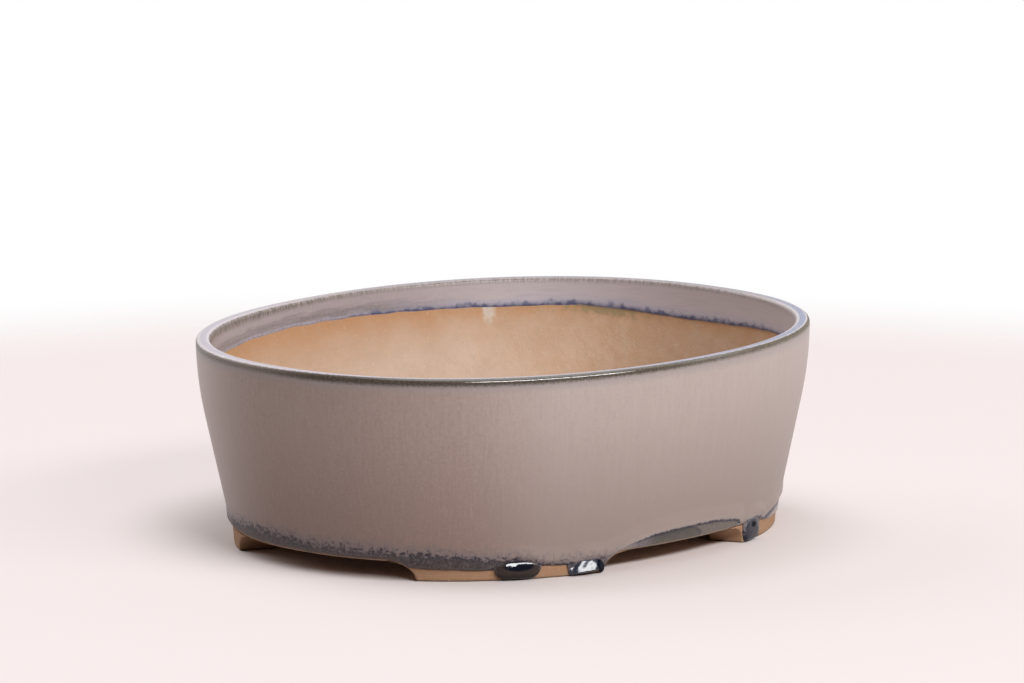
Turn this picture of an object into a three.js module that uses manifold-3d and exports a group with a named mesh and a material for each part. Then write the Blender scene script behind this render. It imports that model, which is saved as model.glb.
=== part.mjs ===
// Oval bonsai pot of slab-built stoneware: a wall on a floor slab, a coil in the inside corner,
// four luted feet, one glaze coat over the rim, and three thick runs of glaze on the feet.
// Millimetres, +Z up, +X along the long axis, origin under the centre on the ground.
import * as THREE from 'three';
import { mergeVertices } from 'three/addons/utils/BufferGeometryUtils.js';
import Module from 'manifold-3d';

const wasm = await Module();
wasm.setup();

// Outside of the finished pot, over the glaze
const length = 240;
const width = 196;
const height = 75;
const ovalPower = 2.16;
const wallTaper = THREE.MathUtils.degToRad(12);
const rimCurveRadius = 135;

// Clay of the wall and the floor
const rimThickness = 3.8;
const baseThickness = 6;
const lipRound = 1.4;
const floorThickness = 6;
const floorEdgeSoft = 0.6;
const cornerCoil = 6;
const coilHollow = 0.75;
const coilClearance = 0.15;

// Feet: the straight gaps between them give their ends
const footHeight = 7;
const footThickness = 13;
const endGap = 86;
const sideGap = 76;
const coveRun = 10.5;
const footTaper = THREE.MathUtils.degToRad(5.5);
const footEdgeSoft = 0.6;

// Holes through the floor
const drainDiameter = 18;
const drainSpacing = 96;
const wireDiameter = 6.5;
const wireSpacingLong = 56;
const wireSpacingWide = 72;
const holeEdgeSoft = 1;

// Glaze coat: its lower edge stops above the floor's edge, and runs part way down one foot
const glazeThickness = 0.5;
const glazeSeat = 0.15;
const beadThickness = 0.6;
const beadHeight = 7;
const beadEdge = 0.45;
const beadCrown = 1.75;
const bareEdge = 0.5;
const glazedFoot = 'front_left';
const footBare = 4.3;
const innerGlazeDepth = 11.2;
const innerGlazeWave = 1.9;
const innerGlazeWaves = 2;

// Glaze runs: distance of each from the foot's end beside the long side's gap, width at the top
// and the share by which it narrows downwards
const runLift = 0.4;
const runClearance = 0.35;
const middleRunFromEnd = 35.5;
const middleRunWidth = 19.4;
const middleRunHeight = 6.3;
const middleRunBulge = 1.5;
const middleRunNarrowing = 0.12;
const endRunFromEnd = 7.5;
const endRunWidth = 14.4;
const endRunHeight = 4.7;
const endRunBulge = 1.7;
const endRunNarrowing = 0.05;
const cornerRunFromEnd = 5.4;
const cornerRunWidth = 14;
const cornerRunHeight = 6.6;
const cornerRunBulge = 1.2;
const cornerRunNarrowing = 0.35;

// Outline of a run: 1 is an ellipse, less is squarer
const runSquareness = 2 / 3;

// How finely the forms are sampled
const ringColumns = 96;
const coveSteps = [0, 0.4, 0.7, 0.9, 1];
const coilSteps = 4;
const footColumns = 9;
const runRings = 4;
const runSpokes = 24;
const drainSides = 40;
const wireSides = 24;
const notchStep = THREE.MathUtils.degToRad(0.35);
const sameColumn = THREE.MathUtils.degToRad(0.05);

// Heights that follow from the sizes above
const coat = glazeThickness + glazeSeat;
const floorTop = footHeight + floorThickness;
const clayTop = height - coat;
const lipCentre = clayTop - lipRound;
const curveDrop = rimCurveRadius * Math.sin(wallTaper);
const curveStart = height - curveDrop;
const curveMiddle = height - curveDrop / 2;

// Colours and finishes
const clayFinish = { color: 0xbe9672, roughness: 0.9, metalness: 0 };
const glazeFinish = { color: 0xa8968d, roughness: 0.42, metalness: 0 };
const runFinish = { color: 0x23252f, roughness: 0.08, metalness: 0 };

// Inset of the glazed outside from the rim's outline: upright at the rim, a large arc, a straight taper,
// and steeper again on the feet
function outsideInset(z) {
  const drop = Math.max(height - z, 0);
  if (drop < curveDrop) {
    return rimCurveRadius - Math.sqrt(rimCurveRadius ** 2 - drop ** 2);
  }
  const onFoot = Math.max(footHeight - z, 0);
  const taper = (drop - curveDrop - onFoot) * Math.tan(wallTaper) + onFoot * Math.tan(footTaper);
  return rimCurveRadius * (1 - Math.cos(wallTaper)) + taper;
}

// Inset of the clay's outside, under the glaze
function clayInset(z) {
  return outsideInset(z) + coat;
}

// Inset of the clay's inside: the wall thickens evenly from the rim to the floor
function innerInset(z) {
  const share = (clayTop - z) / (clayTop - floorTop);
  return clayInset(z) + rimThickness + (baseThickness - rimThickness) * share;
}

// Point of the oval at an angle, moved in from the rim's outline
function ovalPoint(angle, inset, z) {
  const across = Math.cos(angle);
  const along = Math.sin(angle);
  const x = Math.sign(across) * Math.abs(across) ** (2 / ovalPower) * (length / 2 - inset);
  const y = Math.sign(along) * Math.abs(along) ** (2 / ovalPower) * (width / 2 - inset);
  return new THREE.Vector3(x, y, z);
}

// Millimetres of outline for each radian, at foot level
function outlineRate(angle) {
  const before = ovalPoint(angle - sameColumn, clayInset(0), 0);
  const after = ovalPoint(angle + sameColumn, clayInset(0), 0);
  return before.distanceTo(after) / (2 * sameColumn);
}

// Feet lie between two angles of each quarter, counted from the long axis
const footStart = Math.asin((endGap / 2 / (width / 2 - clayInset(0))) ** (ovalPower / 2));
const footEnd = Math.acos((sideGap / 2 / (length / 2 - clayInset(0))) ** (ovalPower / 2));
const startRate = outlineRate(footStart);
const endRate = outlineRate(footEnd);

// Cove under each end of a foot: a quarter ellipse, upright at the ground and level at the floor
function coveReach(z) {
  return coveRun * (1 - Math.sqrt(1 - (z / footHeight) ** 2));
}

function coveHeight(reach) {
  const rest = Math.min(Math.max(1 - reach / coveRun, 0), 1);
  return footHeight * Math.sqrt(1 - rest ** 2);
}

// Angles of a foot's two ends at a height, drawn in by a softened edge
function footSpan(z, soft) {
  const first = footStart - (coveReach(z) - soft) / startRate;
  const last = footEnd + (coveReach(z) - soft) / endRate;
  return [first, last];
}

// Quarters of the pot that carry a foot: signs of X and Y
const quarters = {
  front_left: [-1, -1],
  front_right: [1, -1],
  back_left: [-1, 1],
  back_right: [1, 1],
};

// Angle round the whole oval of an angle inside one quarter
function quarterAngle([signX, signY], angle) {
  return Math.atan2(signY * Math.sin(angle), signX * Math.cos(angle));
}

// Runs of glaze, each on its foot
const runs = [
  {
    name: 'glaze_run_middle',
    foot: 'front_left',
    fromEnd: middleRunFromEnd,
    span: middleRunWidth,
    rise: middleRunHeight,
    bulge: middleRunBulge,
    narrowing: middleRunNarrowing,
  },
  {
    name: 'glaze_run_end',
    foot: 'front_left',
    fromEnd: endRunFromEnd,
    span: endRunWidth,
    rise: endRunHeight,
    bulge: endRunBulge,
    narrowing: endRunNarrowing,
  },
  {
    name: 'glaze_run_corner',
    foot: 'front_right',
    fromEnd: cornerRunFromEnd,
    span: cornerRunWidth,
    rise: cornerRunHeight,
    bulge: cornerRunBulge,
    narrowing: cornerRunNarrowing,
  },
];

// Angle inside its quarter at a distance along the foot from the end beside the long side's gap
function runAngle(distance) {
  return footEnd - distance / endRate;
}

// Half the angle that the coat leaves open round a run
function runOpening(run) {
  return (run.span / 2 + runClearance) / endRate;
}

// Shortest turn from one angle to another
function turn(from, to) {
  return Math.atan2(Math.sin(to - from), Math.cos(to - from));
}

// Lower edge of the glaze on a foot that it runs down: down the coves and part way down the face
function footGlazeEdge(angle) {
  const quarter = Math.atan2(Math.abs(Math.sin(angle)), Math.abs(Math.cos(angle)));
  const beyondStart = (footStart - quarter) * startRate;
  const beyondEnd = (quarter - footEnd) * endRate;
  const beyond = Math.max(beyondStart, beyondEnd);
  const overCove = beyond > 0 ? coveHeight(beyond) + bareEdge : 0;
  return Math.max(footBare, overCove);
}

// Lower edge of the coat: above the floor's edge, down the glazed foot, over the runs
function glazeEdge(angle) {
  const [signX, signY] = quarters[glazedFoot];
  const onFoot = signX * Math.cos(angle) > 0 && signY * Math.sin(angle) > 0;
  let edge = onFoot ? footGlazeEdge(angle) : footHeight + bareEdge;
  for (const run of runs) {
    const centre = quarterAngle(quarters[run.foot], runAngle(run.fromEnd));
    if (Math.abs(turn(centre, angle)) <= runOpening(run) + sameColumn) {
      edge = Math.max(edge, runLift + run.rise + runClearance);
    }
  }
  return edge;
}

// Lower edge of the glaze band inside the rim, deeper at the two ends of the oval
function innerGlazeEdge(angle) {
  return height - innerGlazeDepth - innerGlazeWave * Math.cos(innerGlazeWaves * angle);
}

// Even columns round the oval, shared by all clay rings
const evenColumns = [];
for (let column = 0; column < ringColumns; column += 1) {
  evenColumns.push((column / ringColumns) * 2 * Math.PI - Math.PI);
}

// The coat has more columns, where its lower edge turns
function coatColumns() {
  const extra = [];
  for (const step of coveSteps) {
    const [first, last] = footSpan(step * footHeight, 0);
    extra.push(quarterAngle(quarters[glazedFoot], first), quarterAngle(quarters[glazedFoot], last));
  }
  for (const run of runs) {
    const centre = quarterAngle(quarters[run.foot], runAngle(run.fromEnd));
    for (const side of [-1, 1]) {
      extra.push(centre + side * runOpening(run), centre + side * (runOpening(run) + notchStep));
    }
  }
  const columns = [...evenColumns];
  for (const angle of extra) {
    if (columns.every((other) => Math.abs(turn(other, angle)) > sameColumn)) {
      columns.push(angle);
    }
  }
  return columns.sort((a, b) => a - b);
}

// Closed geometry of vertices and triangles
function geometryOf(points, triangles) {
  const geometry = new THREE.BufferGeometry().setFromPoints(points);
  geometry.setIndex(triangles);
  geometry.computeVertexNormals();
  return geometry;
}

// Ring solid: one closed loop of points for each column, up the outside and down the inside
function ringSolid(loops) {
  const rows = loops[0].length;
  const triangles = [];
  loops.forEach((loop, i) => {
    const next = ((i + 1) % loops.length) * rows;
    const here = i * rows;
    for (let row = 0; row < rows; row += 1) {
      const above = (row + 1) % rows;
      triangles.push(here + row, next + row, next + above);
      triangles.push(here + row, next + above, here + above);
    }
  });
  return geometryOf(loops.flat(), triangles);
}

// Stacked solid: level sections from the bottom to the top, each anticlockwise, with flat caps
function stackedSolid(sections) {
  const count = sections[0].length;
  const top = (sections.length - 1) * count;
  const triangles = [];
  for (let level = 0; level < sections.length - 1; level += 1) {
    for (let i = 0; i < count; i += 1) {
      const next = (i + 1) % count;
      const here = level * count;
      triangles.push(here + i, here + next, here + count + next);
      triangles.push(here + i, here + count + next, here + count + i);
    }
  }
  for (const [a, b, c] of THREE.ShapeUtils.triangulateShape(sections[0], [])) {
    triangles.push(a, c, b);
  }
  for (const [a, b, c] of THREE.ShapeUtils.triangulateShape(sections.at(-1), [])) {
    triangles.push(top + a, top + b, top + c);
  }
  return geometryOf(sections.flat(), triangles);
}

// Solid for cutting, from a closed geometry
function solidOf(geometry) {
  const bare = geometry.clone();
  bare.deleteAttribute('normal');
  bare.deleteAttribute('uv');
  const merged = mergeVertices(bare);
  const vertProperties = new Float32Array(merged.attributes.position.array);
  const triVerts = new Uint32Array(merged.index.array);
  return new wasm.Manifold(new wasm.Mesh({ numProp: 3, vertProperties, triVerts }));
}

// Geometry of a cut solid
function cutGeometry(solid) {
  const mesh = solid.getMesh();
  const geometry = new THREE.BufferGeometry();
  geometry.setAttribute('position', new THREE.BufferAttribute(mesh.vertProperties, mesh.numProp));
  geometry.setIndex(new THREE.BufferAttribute(mesh.triVerts, 1));
  geometry.computeVertexNormals();
  return geometry;
}

// Points of the lip's two rounded edges, for the clay or for a skin over it, from outside to inside
function lipPoints(angle, skin) {
  const radius = lipRound + skin;
  const outerCentre = clayInset(lipCentre) + lipRound;
  const innerCentre = innerInset(lipCentre) - lipRound;
  const slant = radius * Math.SQRT1_2;
  return [
    ovalPoint(angle, outerCentre - radius, lipCentre),
    ovalPoint(angle, outerCentre - slant, lipCentre + slant),
    ovalPoint(angle, outerCentre, lipCentre + radius),
    ovalPoint(angle, innerCentre, lipCentre + radius),
    ovalPoint(angle, innerCentre + slant, lipCentre + slant),
    ovalPoint(angle, innerCentre + radius, lipCentre),
  ];
}

// Wall: stands on the floor slab, tapered outside, upright and rounded at the lip
function wallRing() {
  const innerLevels = [height - innerGlazeDepth, curveMiddle, curveStart, floorTop];
  innerLevels.sort((a, b) => b - a);
  const loops = evenColumns.map((angle) => [
    ovalPoint(angle, clayInset(floorTop), floorTop),
    ovalPoint(angle, clayInset(curveStart), curveStart),
    ovalPoint(angle, clayInset(curveMiddle), curveMiddle),
    ...lipPoints(angle, 0),
    ...innerLevels.map((z) => ovalPoint(angle, innerInset(z), z)),
  ]);
  return ringSolid(loops);
}

// Cutter for a hole through the floor, flared at both faces to soften the hole's edges
function holeCutter(diameter, sides, x, y) {
  const radius = diameter / 2;
  const wide = radius + holeEdgeSoft;
  const profile = [
    new THREE.Vector2(0, footHeight - holeEdgeSoft),
    new THREE.Vector2(wide, footHeight - holeEdgeSoft),
    new THREE.Vector2(wide, footHeight),
    new THREE.Vector2(radius, footHeight + holeEdgeSoft),
    new THREE.Vector2(radius, floorTop - holeEdgeSoft),
    new THREE.Vector2(wide, floorTop),
    new THREE.Vector2(wide, floorTop + holeEdgeSoft),
    new THREE.Vector2(0, floorTop + holeEdgeSoft),
  ];
  const cutter = new THREE.LatheGeometry(profile, sides);
  cutter.rotateX(Math.PI / 2);
  cutter.translate(x, y, 0);
  return solidOf(cutter);
}

// Floor: an oval slab whose edge carries on the wall's taper, with drain holes and wire holes
function floorSlab() {
  const level = (inset, z) => evenColumns.map((angle) => ovalPoint(angle, inset, z));
  const softTop = footHeight + floorEdgeSoft;
  const slab = stackedSolid([
    level(clayInset(footHeight) + floorEdgeSoft, footHeight),
    level(clayInset(softTop), softTop),
    level(clayInset(floorTop), floorTop),
  ]);
  let solid = solidOf(slab);
  for (const sideX of [-1, 1]) {
    solid = solid.subtract(holeCutter(drainDiameter, drainSides, (sideX * drainSpacing) / 2, 0));
    for (const sideY of [-1, 1]) {
      const x = (sideX * wireSpacingLong) / 2;
      const y = (sideY * wireSpacingWide) / 2;
      solid = solid.subtract(holeCutter(wireDiameter, wireSides, x, y));
    }
  }
  return cutGeometry(solid);
}

// Coil: the roll of clay pressed into the inside corner, hollowed by a finger
function cornerCoilRing() {
  const coilTop = floorTop + cornerCoil;
  const wallSide = innerInset(floorTop) + coilClearance;
  const topSide = innerInset(coilTop) + coilClearance;
  const hollow = new THREE.QuadraticBezierCurve(
    new THREE.Vector2(topSide, coilTop),
    new THREE.Vector2(wallSide + coilHollow, floorTop + coilHollow),
    new THREE.Vector2(wallSide + cornerCoil, floorTop),
  );
  const section = [new THREE.Vector2(wallSide, floorTop), ...hollow.getPoints(coilSteps)];
  const loops = evenColumns.map((angle) => section.map((point) => ovalPoint(angle, point.x, point.y)));
  return ringSolid(loops);
}

// Foot: flush with the wall outside, following the oval, with a cove at each end and a flat sole
function footBlock(quarter) {
  const [signX, signY] = quarter;
  const section = (z, soft) => {
    const [first, last] = footSpan(z, soft);
    const angles = [];
    for (let column = 0; column <= footColumns; column += 1) {
      angles.push(first + ((last - first) * column) / footColumns);
    }
    const outer = angles.map((angle) => ovalPoint(angle, clayInset(z) + soft, z));
    const inner = angles.map((angle) => ovalPoint(angle, clayInset(0) + footThickness - soft, z));
    const outline = [...outer, ...inner.reverse()];
    const placed = outline.map((point) => new THREE.Vector3(signX * point.x, signY * point.y, z));
    return signX * signY > 0 ? placed : placed.reverse();
  };
  const levels = coveSteps.slice(1).map((step) => section(step * footHeight, 0));
  return stackedSolid([section(0, footEdgeSoft), section(footEdgeSoft, 0), ...levels]);
}

// Glaze coat: one skin from its lower edge, rolled into a bead, up the wall, over the lip and down inside
function glazeCoat() {
  const loops = coatColumns().map((angle) => {
    const edge = glazeEdge(angle);
    const inner = innerGlazeEdge(angle);
    const outside = (z, thickness) => ovalPoint(angle, clayInset(z) - glazeSeat - thickness, z);
    const inside = (z, thickness) => ovalPoint(angle, innerInset(z) + glazeSeat + thickness, z);
    const bead = glazeThickness + beadThickness;
    return [
      outside(edge, 0),
      outside(edge + beadEdge, bead - beadEdge / 2),
      outside(edge + beadCrown, bead),
      outside(edge + beadHeight, glazeThickness),
      outside(curveStart, glazeThickness),
      outside(curveMiddle, glazeThickness),
      ...lipPoints(angle, coat),
      inside(inner + beadEdge, glazeThickness),
      inside(inner, 0),
      ...lipPoints(angle, glazeSeat).reverse(),
      outside(curveMiddle, 0),
      outside(curveStart, 0),
    ];
  });
  return ringSolid(loops);
}

// Run: a thick drop of glaze on a foot's face, a dome on a squared round outline that narrows downwards
function runBead(run) {
  const middle = runLift + run.rise / 2;
  const place = (across, up, thickness) => {
    const z = middle + (up * run.rise) / 2;
    const halfWidth = (run.span / 2) * (1 - (run.narrowing * (1 - up)) / 2);
    const angle = runAngle(run.fromEnd + across * halfWidth);
    const whole = quarterAngle(quarters[run.foot], angle);
    return ovalPoint(whole, clayInset(z) - glazeSeat - thickness, z);
  };
  const ring = (share, thickness) => {
    const points = [];
    for (let spoke = 0; spoke < runSpokes; spoke += 1) {
      const round = (spoke / runSpokes) * 2 * Math.PI;
      const across = Math.sign(Math.cos(round)) * Math.abs(Math.cos(round)) ** runSquareness;
      const up = Math.sign(Math.sin(round)) * Math.abs(Math.sin(round)) ** runSquareness;
      points.push(place(share * across, share * up, thickness));
    }
    return points;
  };
  const rings = [];
  for (let i = 1; i <= runRings; i += 1) {
    const share = i / runRings;
    rings.push(ring(share, run.bulge * Math.sqrt(1 - share ** 2)));
  }
  for (let i = runRings - 1; i >= 1; i -= 1) {
    rings.push(ring(i / runRings, 0));
  }
  const points = rings.flat();
  const front = points.push(place(0, 0, run.bulge)) - 1;
  const back = points.push(place(0, 0, 0)) - 1;
  const triangles = [];
  const lastRing = (rings.length - 1) * runSpokes;
  const facing = quarters[run.foot][0] * quarters[run.foot][1] > 0;
  const add = (a, b, c) => (facing ? triangles.push(a, b, c) : triangles.push(a, c, b));
  for (let spoke = 0; spoke < runSpokes; spoke += 1) {
    const next = (spoke + 1) % runSpokes;
    add(front, next, spoke);
    add(back, lastRing + spoke, lastRing + next);
    for (let i = 0; i < rings.length - 1; i += 1) {
      const here = i * runSpokes;
      const there = here + runSpokes;
      add(here + spoke, here + next, there + next);
      add(here + spoke, there + next, there + spoke);
    }
  }
  return geometryOf(points, triangles);
}

// Named mesh with its finish
function piece(name, geometry, finish) {
  const mesh = new THREE.Mesh(geometry, new THREE.MeshStandardMaterial(finish));
  mesh.name = name;
  return mesh;
}

const pot = new THREE.Group();
pot.name = 'oval_bonsai_pot';
pot.add(piece('wall_ring', wallRing(), clayFinish));
pot.add(piece('floor_slab', floorSlab(), clayFinish));
pot.add(piece('corner_coil', cornerCoilRing(), clayFinish));
for (const [place, quarter] of Object.entries(quarters)) {
  pot.add(piece(`foot_${place}`, footBlock(quarter), clayFinish));
}
pot.add(piece('glaze_coat', glazeCoat(), glazeFinish));
for (const run of runs) {
  pot.add(piece(run.name, runBead(run), runFinish));
}

export default pot;
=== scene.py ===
# %% [markdown]
# # An oval stoneware pot for a bonsai
# The pot is built by hand. An oval wall stands on a floor slab, a coil of clay seals the corner
# inside, four coved feet are luted underneath, and one coat of glaze covers the outside and the lip.
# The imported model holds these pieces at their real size. They could be coloured as they are, but their
# faces are coarse, so each piece is made again as a fine surface with its finish. It stands in the same
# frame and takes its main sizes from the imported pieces, so nothing has to be fitted afterwards.

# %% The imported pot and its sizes
import math
from types import SimpleNamespace

import bpy
import numpy as np
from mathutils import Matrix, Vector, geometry


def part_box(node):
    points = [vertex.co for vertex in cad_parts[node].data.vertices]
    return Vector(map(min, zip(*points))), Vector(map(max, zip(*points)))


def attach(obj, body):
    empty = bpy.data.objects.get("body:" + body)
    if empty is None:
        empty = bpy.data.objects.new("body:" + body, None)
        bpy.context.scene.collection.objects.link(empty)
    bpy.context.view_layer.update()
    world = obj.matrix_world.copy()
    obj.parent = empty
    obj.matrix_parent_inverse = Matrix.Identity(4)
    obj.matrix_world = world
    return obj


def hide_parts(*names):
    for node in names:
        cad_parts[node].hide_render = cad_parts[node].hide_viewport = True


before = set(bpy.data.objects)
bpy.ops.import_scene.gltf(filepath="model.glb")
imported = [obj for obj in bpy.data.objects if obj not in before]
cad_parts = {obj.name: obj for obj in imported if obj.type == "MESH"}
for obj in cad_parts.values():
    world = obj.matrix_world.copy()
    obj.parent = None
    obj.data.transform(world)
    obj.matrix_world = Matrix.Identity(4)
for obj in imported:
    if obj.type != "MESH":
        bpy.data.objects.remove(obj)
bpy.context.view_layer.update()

MM = 0.001


def corners(node):
    """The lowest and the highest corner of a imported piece, in millimetres."""
    low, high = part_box(node)
    return np.array(low) / MM, np.array(high) / MM


coat_high = corners("glaze_coat")[1]
wall_high = corners("wall_ring")[1]
floor_low, floor_high = corners("floor_slab")
coil_low, coil_high = corners("corner_coil")

pot_height = coat_high[2]
half_length, half_width = coat_high[:2]
coat_thickness = coat_high[0] - wall_high[0]
clay_top = wall_high[2]
floor_top = floor_high[2]
foot_height = floor_low[2]
print(f"pot {2 * half_length:.1f} x {2 * half_width:.1f} x {pot_height:.1f} mm")
print(f"coat {coat_thickness:.2f} mm thick")

# %% [markdown]
# ## The camera
# A long lens from about four metres looks a little down on the pot, towards one corner of its oval.
# Its place comes from fitting the oval's rim and base to the picture. The camera could be aimed by a
# constraint or a matrix. Turning an upright camera down by the pitch and round by the view's turn is
# easier to read.

# %% Camera
view_turn = math.radians(47.8)
view_yaw = math.radians(0.04)
view_pitch = math.radians(9.74)
camera_distance = 4.0
camera_height = 0.756
farthest_seen = 30
focal_pixels = 11187
picture_width = 1024
sensor_width = 36

toward_right = np.array([math.cos(view_turn), -math.sin(view_turn), 0])
away = np.array([math.sin(view_turn), math.cos(view_turn), 0])
upward = np.array([0, 0, 1])

camera = bpy.data.objects.new("camera", bpy.data.cameras.new("camera"))
bpy.context.scene.collection.objects.link(camera)
camera.data.sensor_width = sensor_width
camera.data.lens = focal_pixels / picture_width * sensor_width
camera.data.clip_end = farthest_seen
camera.location = -camera_distance * away + camera_height * upward
camera.rotation_euler = (math.pi / 2 - view_pitch, 0, -view_turn - view_yaw)
bpy.context.scene.camera = camera
print(f"camera lens {camera.data.lens:.0f} mm, {camera_distance} m away")

# %% [markdown]
# ## Wiring finishes
# Every finish below is a small net of nodes. A net could be wired by hand in the node editor, but a
# written one can be read and changed like a recipe. These helpers keep the nets short: a socket is fed
# by a link or by a plain value, and each helper adds a node or two and hands back the socket it makes.

# %% Helpers for masks and colours
cloud_low = 0.3
cloud_high = 0.7


def feed(tree, socket, value):
    """A socket takes a link from another socket, or a plain number, vector or colour of its own."""
    if isinstance(value, bpy.types.NodeSocket):
        tree.links.new(value, socket)
    elif socket.type == "RGBA":
        socket.default_value = (*value, 1)
    else:
        socket.default_value = value


def calculate(tree, operation, first, second=0.0):
    """One sum on two numbers."""
    made = tree.nodes.new("ShaderNodeMath")
    made.operation = operation
    feed(tree, made.inputs[0], first)
    feed(tree, made.inputs[1], second)
    return made.outputs[0]


def fade(tree, value, start, end, low=0.0, high=1.0):
    """A soft step: low before start, high after end, and a smooth S between them."""
    made = tree.nodes.new("ShaderNodeMapRange")
    made.interpolation_type = "SMOOTHSTEP"
    for place, number in enumerate((value, start, end, low, high)):
        feed(tree, made.inputs[place], number)
    return made.outputs[0]


def blend(tree, share, first, second):
    """The first colour where share is 0 and the second where it is 1."""
    made = tree.nodes.new("ShaderNodeMix")
    made.data_type = "RGBA"
    feed(tree, made.inputs[0], share)
    feed(tree, made.inputs[6], first)
    feed(tree, made.inputs[7], second)
    return made.outputs[2]


def masked(tree, *masks):
    """Masks multiplied together."""
    product = masks[0]
    for mask in masks[1:]:
        product = calculate(tree, "MULTIPLY", product, mask)
    return product


def between(tree, value, start, full, thin, end):
    """A soft strip: 1 from full to thin, and 0 before start and after end."""
    return masked(tree, fade(tree, value, start, full), fade(tree, value, end, thin))


def roughened(tree, distance, clouds, most):
    """A distance that clouds make longer or shorter, by this much at most, so that its edges fray."""
    return calculate(tree, "ADD", distance, fade(tree, clouds, cloud_low, cloud_high, -most, most))


def mixture(tree, *parts):
    """Several clouds added up, each times its share."""
    total = masked(tree, *parts[0])
    for part in parts[1:]:
        total = calculate(tree, "ADD", total, masked(tree, *part))
    return total


print("helpers for masks and colours ready")

# %% [markdown]
# ## Patterns and relief
# A finish also needs something to vary by: the place on the pot, a mark on the piece's own points, or
# noise on either. Image textures could give that, but they have to be unwrapped and stored. These
# helpers fetch a place or a mark, squeeze it, lay noise on it, and turn a height into relief.

# %% Helpers for patterns and shaders
def own_place(tree):
    """Object coordinates, in metres, which are the pot's own frame."""
    return tree.nodes.new("ShaderNodeTexCoord").outputs["Object"]


def mark(tree, name, output="Fac"):
    """A number or a vector that the piece carries on its own points, and 0 where it carries none."""
    made = tree.nodes.new("ShaderNodeAttribute")
    made.attribute_name = name
    return made.outputs[output]


def stretch(tree, vector, scale):
    """A vector with each of its axes multiplied, so that a pattern on it is squeezed by that much."""
    made = tree.nodes.new("ShaderNodeMapping")
    feed(tree, made.inputs["Vector"], vector)
    feed(tree, made.inputs["Scale"], scale)
    return made.outputs[0]


def cloud(tree, vector, scale, detail=3.0, roughness=0.55):
    """Soft noise between 0 and 1, with about this many blobs for each unit of the vector."""
    made = tree.nodes.new("ShaderNodeTexNoise")
    feed(tree, made.inputs["Vector"], vector)
    made.inputs["Scale"].default_value = scale
    made.inputs["Detail"].default_value = detail
    made.inputs["Roughness"].default_value = roughness
    return made.outputs[0]


def raised(tree, height, depth, below=None):
    """Surface relief: the height, from 0 to 1, becomes bumps of this depth in metres."""
    made = tree.nodes.new("ShaderNodeBump")
    made.inputs["Distance"].default_value = depth
    feed(tree, made.inputs["Height"], height)
    if below is not None:
        feed(tree, made.inputs["Normal"], below)
    return made.outputs[0]


def seen_rays(tree):
    """Two masks: rays straight from the camera, and rays that a mirror or glass has sent on."""
    path = tree.nodes.new("ShaderNodeLightPath").outputs
    mirrored = calculate(tree, "MAXIMUM", path["Is Glossy Ray"], path["Is Transmission Ray"])
    return path["Is Camera Ray"], mirrored


def new_finish(name):
    """An empty finish, its node tree and its shader."""
    finish = bpy.data.materials.new(name)
    finish.use_nodes = True
    return finish, finish.node_tree, finish.node_tree.nodes["Principled BSDF"]


print("helpers for patterns and shaders ready")

# %% [markdown]
# ## The floor
# The pot stands on a plain pale floor that ends softly half a metre away. A sheet that bends up into a
# backdrop would do as well, but a disc that thins to nothing leaves no bend to light. Close to the pot
# the floor is lit by the lamps and keeps the pot's shadow. Further off, what the camera and the mirrors
# see of it is mostly one even tone, so the floor looks the same at both sides.

# %% Floor
floor_radius = 0.54
floor_fade_start = 0.40
floor_corners = 96
floor_roughness = 0.8
floor_colour = (0.75, 0.676, 0.661)
floor_seen = (0.863, 0.768, 0.760)
even_start = 0.100
even_end = 0.150
even_share = 0.7
black = (0, 0, 0)

bpy.context.scene.view_settings.view_transform = "Standard"


def pale_floor():
    """A flat disc, one ring of corners round the origin, whose finish thins to nothing at its edge."""
    turn = np.linspace(0, 2 * np.pi, floor_corners, endpoint=False)
    ring = np.stack([np.cos(turn), np.sin(turn), 0 * turn], axis=1)
    mesh = bpy.data.meshes.new("pale_floor")
    mesh.from_pydata((floor_radius * ring).tolist(), [], [list(range(floor_corners))])
    disc = bpy.data.objects.new("pale_floor", mesh)
    bpy.context.scene.collection.objects.link(disc)
    finish, tree, shader = new_finish("pale_floor")
    shader.inputs["Roughness"].default_value = floor_roughness
    from_middle = tree.nodes.new("ShaderNodeVectorMath")
    from_middle.operation = "LENGTH"
    feed(tree, from_middle.inputs[0], own_place(tree))
    distance = from_middle.outputs["Value"]
    feed(tree, shader.inputs["Alpha"], fade(tree, distance, floor_fade_start, floor_radius, 1, 0))
    seen = calculate(tree, "MAXIMUM", *seen_rays(tree))
    even = masked(tree, seen, fade(tree, distance, even_start, even_end, 0, even_share))
    feed(tree, shader.inputs["Base Color"], blend(tree, even, floor_colour, black))
    shader.inputs["Emission Color"].default_value = (*floor_seen, 1)
    feed(tree, shader.inputs["Emission Strength"], even)
    mesh.materials.append(finish)
    return disc


pale_floor()
print(f"floor of {2 * floor_radius:.2f} m")

# %% [markdown]
# ## Backdrop and lamps
# The camera sees white all round. A mirrored ray sees white only on the far side, where a backdrop
# stands, so the black pools of glaze keep dark middles, as they would in front of a dim room. Large soft
# lamps stand at the right in front, at both sides behind and overhead: the first gives the pot its
# form, and the others keep its shadows pale. A picture of a studio wrapped round the scene could light
# the pot too, but lamps can be moved one by one.

# %% Backdrop and lamps
dim_side = 0.05
far_side = 0.08
white_from = -0.25
white_full = 0.45
dome_from = -0.6
dome_full = 0.6

# For each lamp, its place to the right, away and up as the camera sees it, its width, height and watts
lamps = {
    "lamp_right_front": ((1.31, -1.46, 1.35), 2.4, 0.42, 67),
    "lamp_left_back": ((-1.7, 1.2, 1.35), 2.4, 1.6, 40),
    "lamp_right_back": ((1.6, 1.1, 0.9), 1.4, 1.4, 7),
    "lamp_above": ((0.1, 0.1, 2.1), 2.0, 2.0, 11),
}


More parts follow.
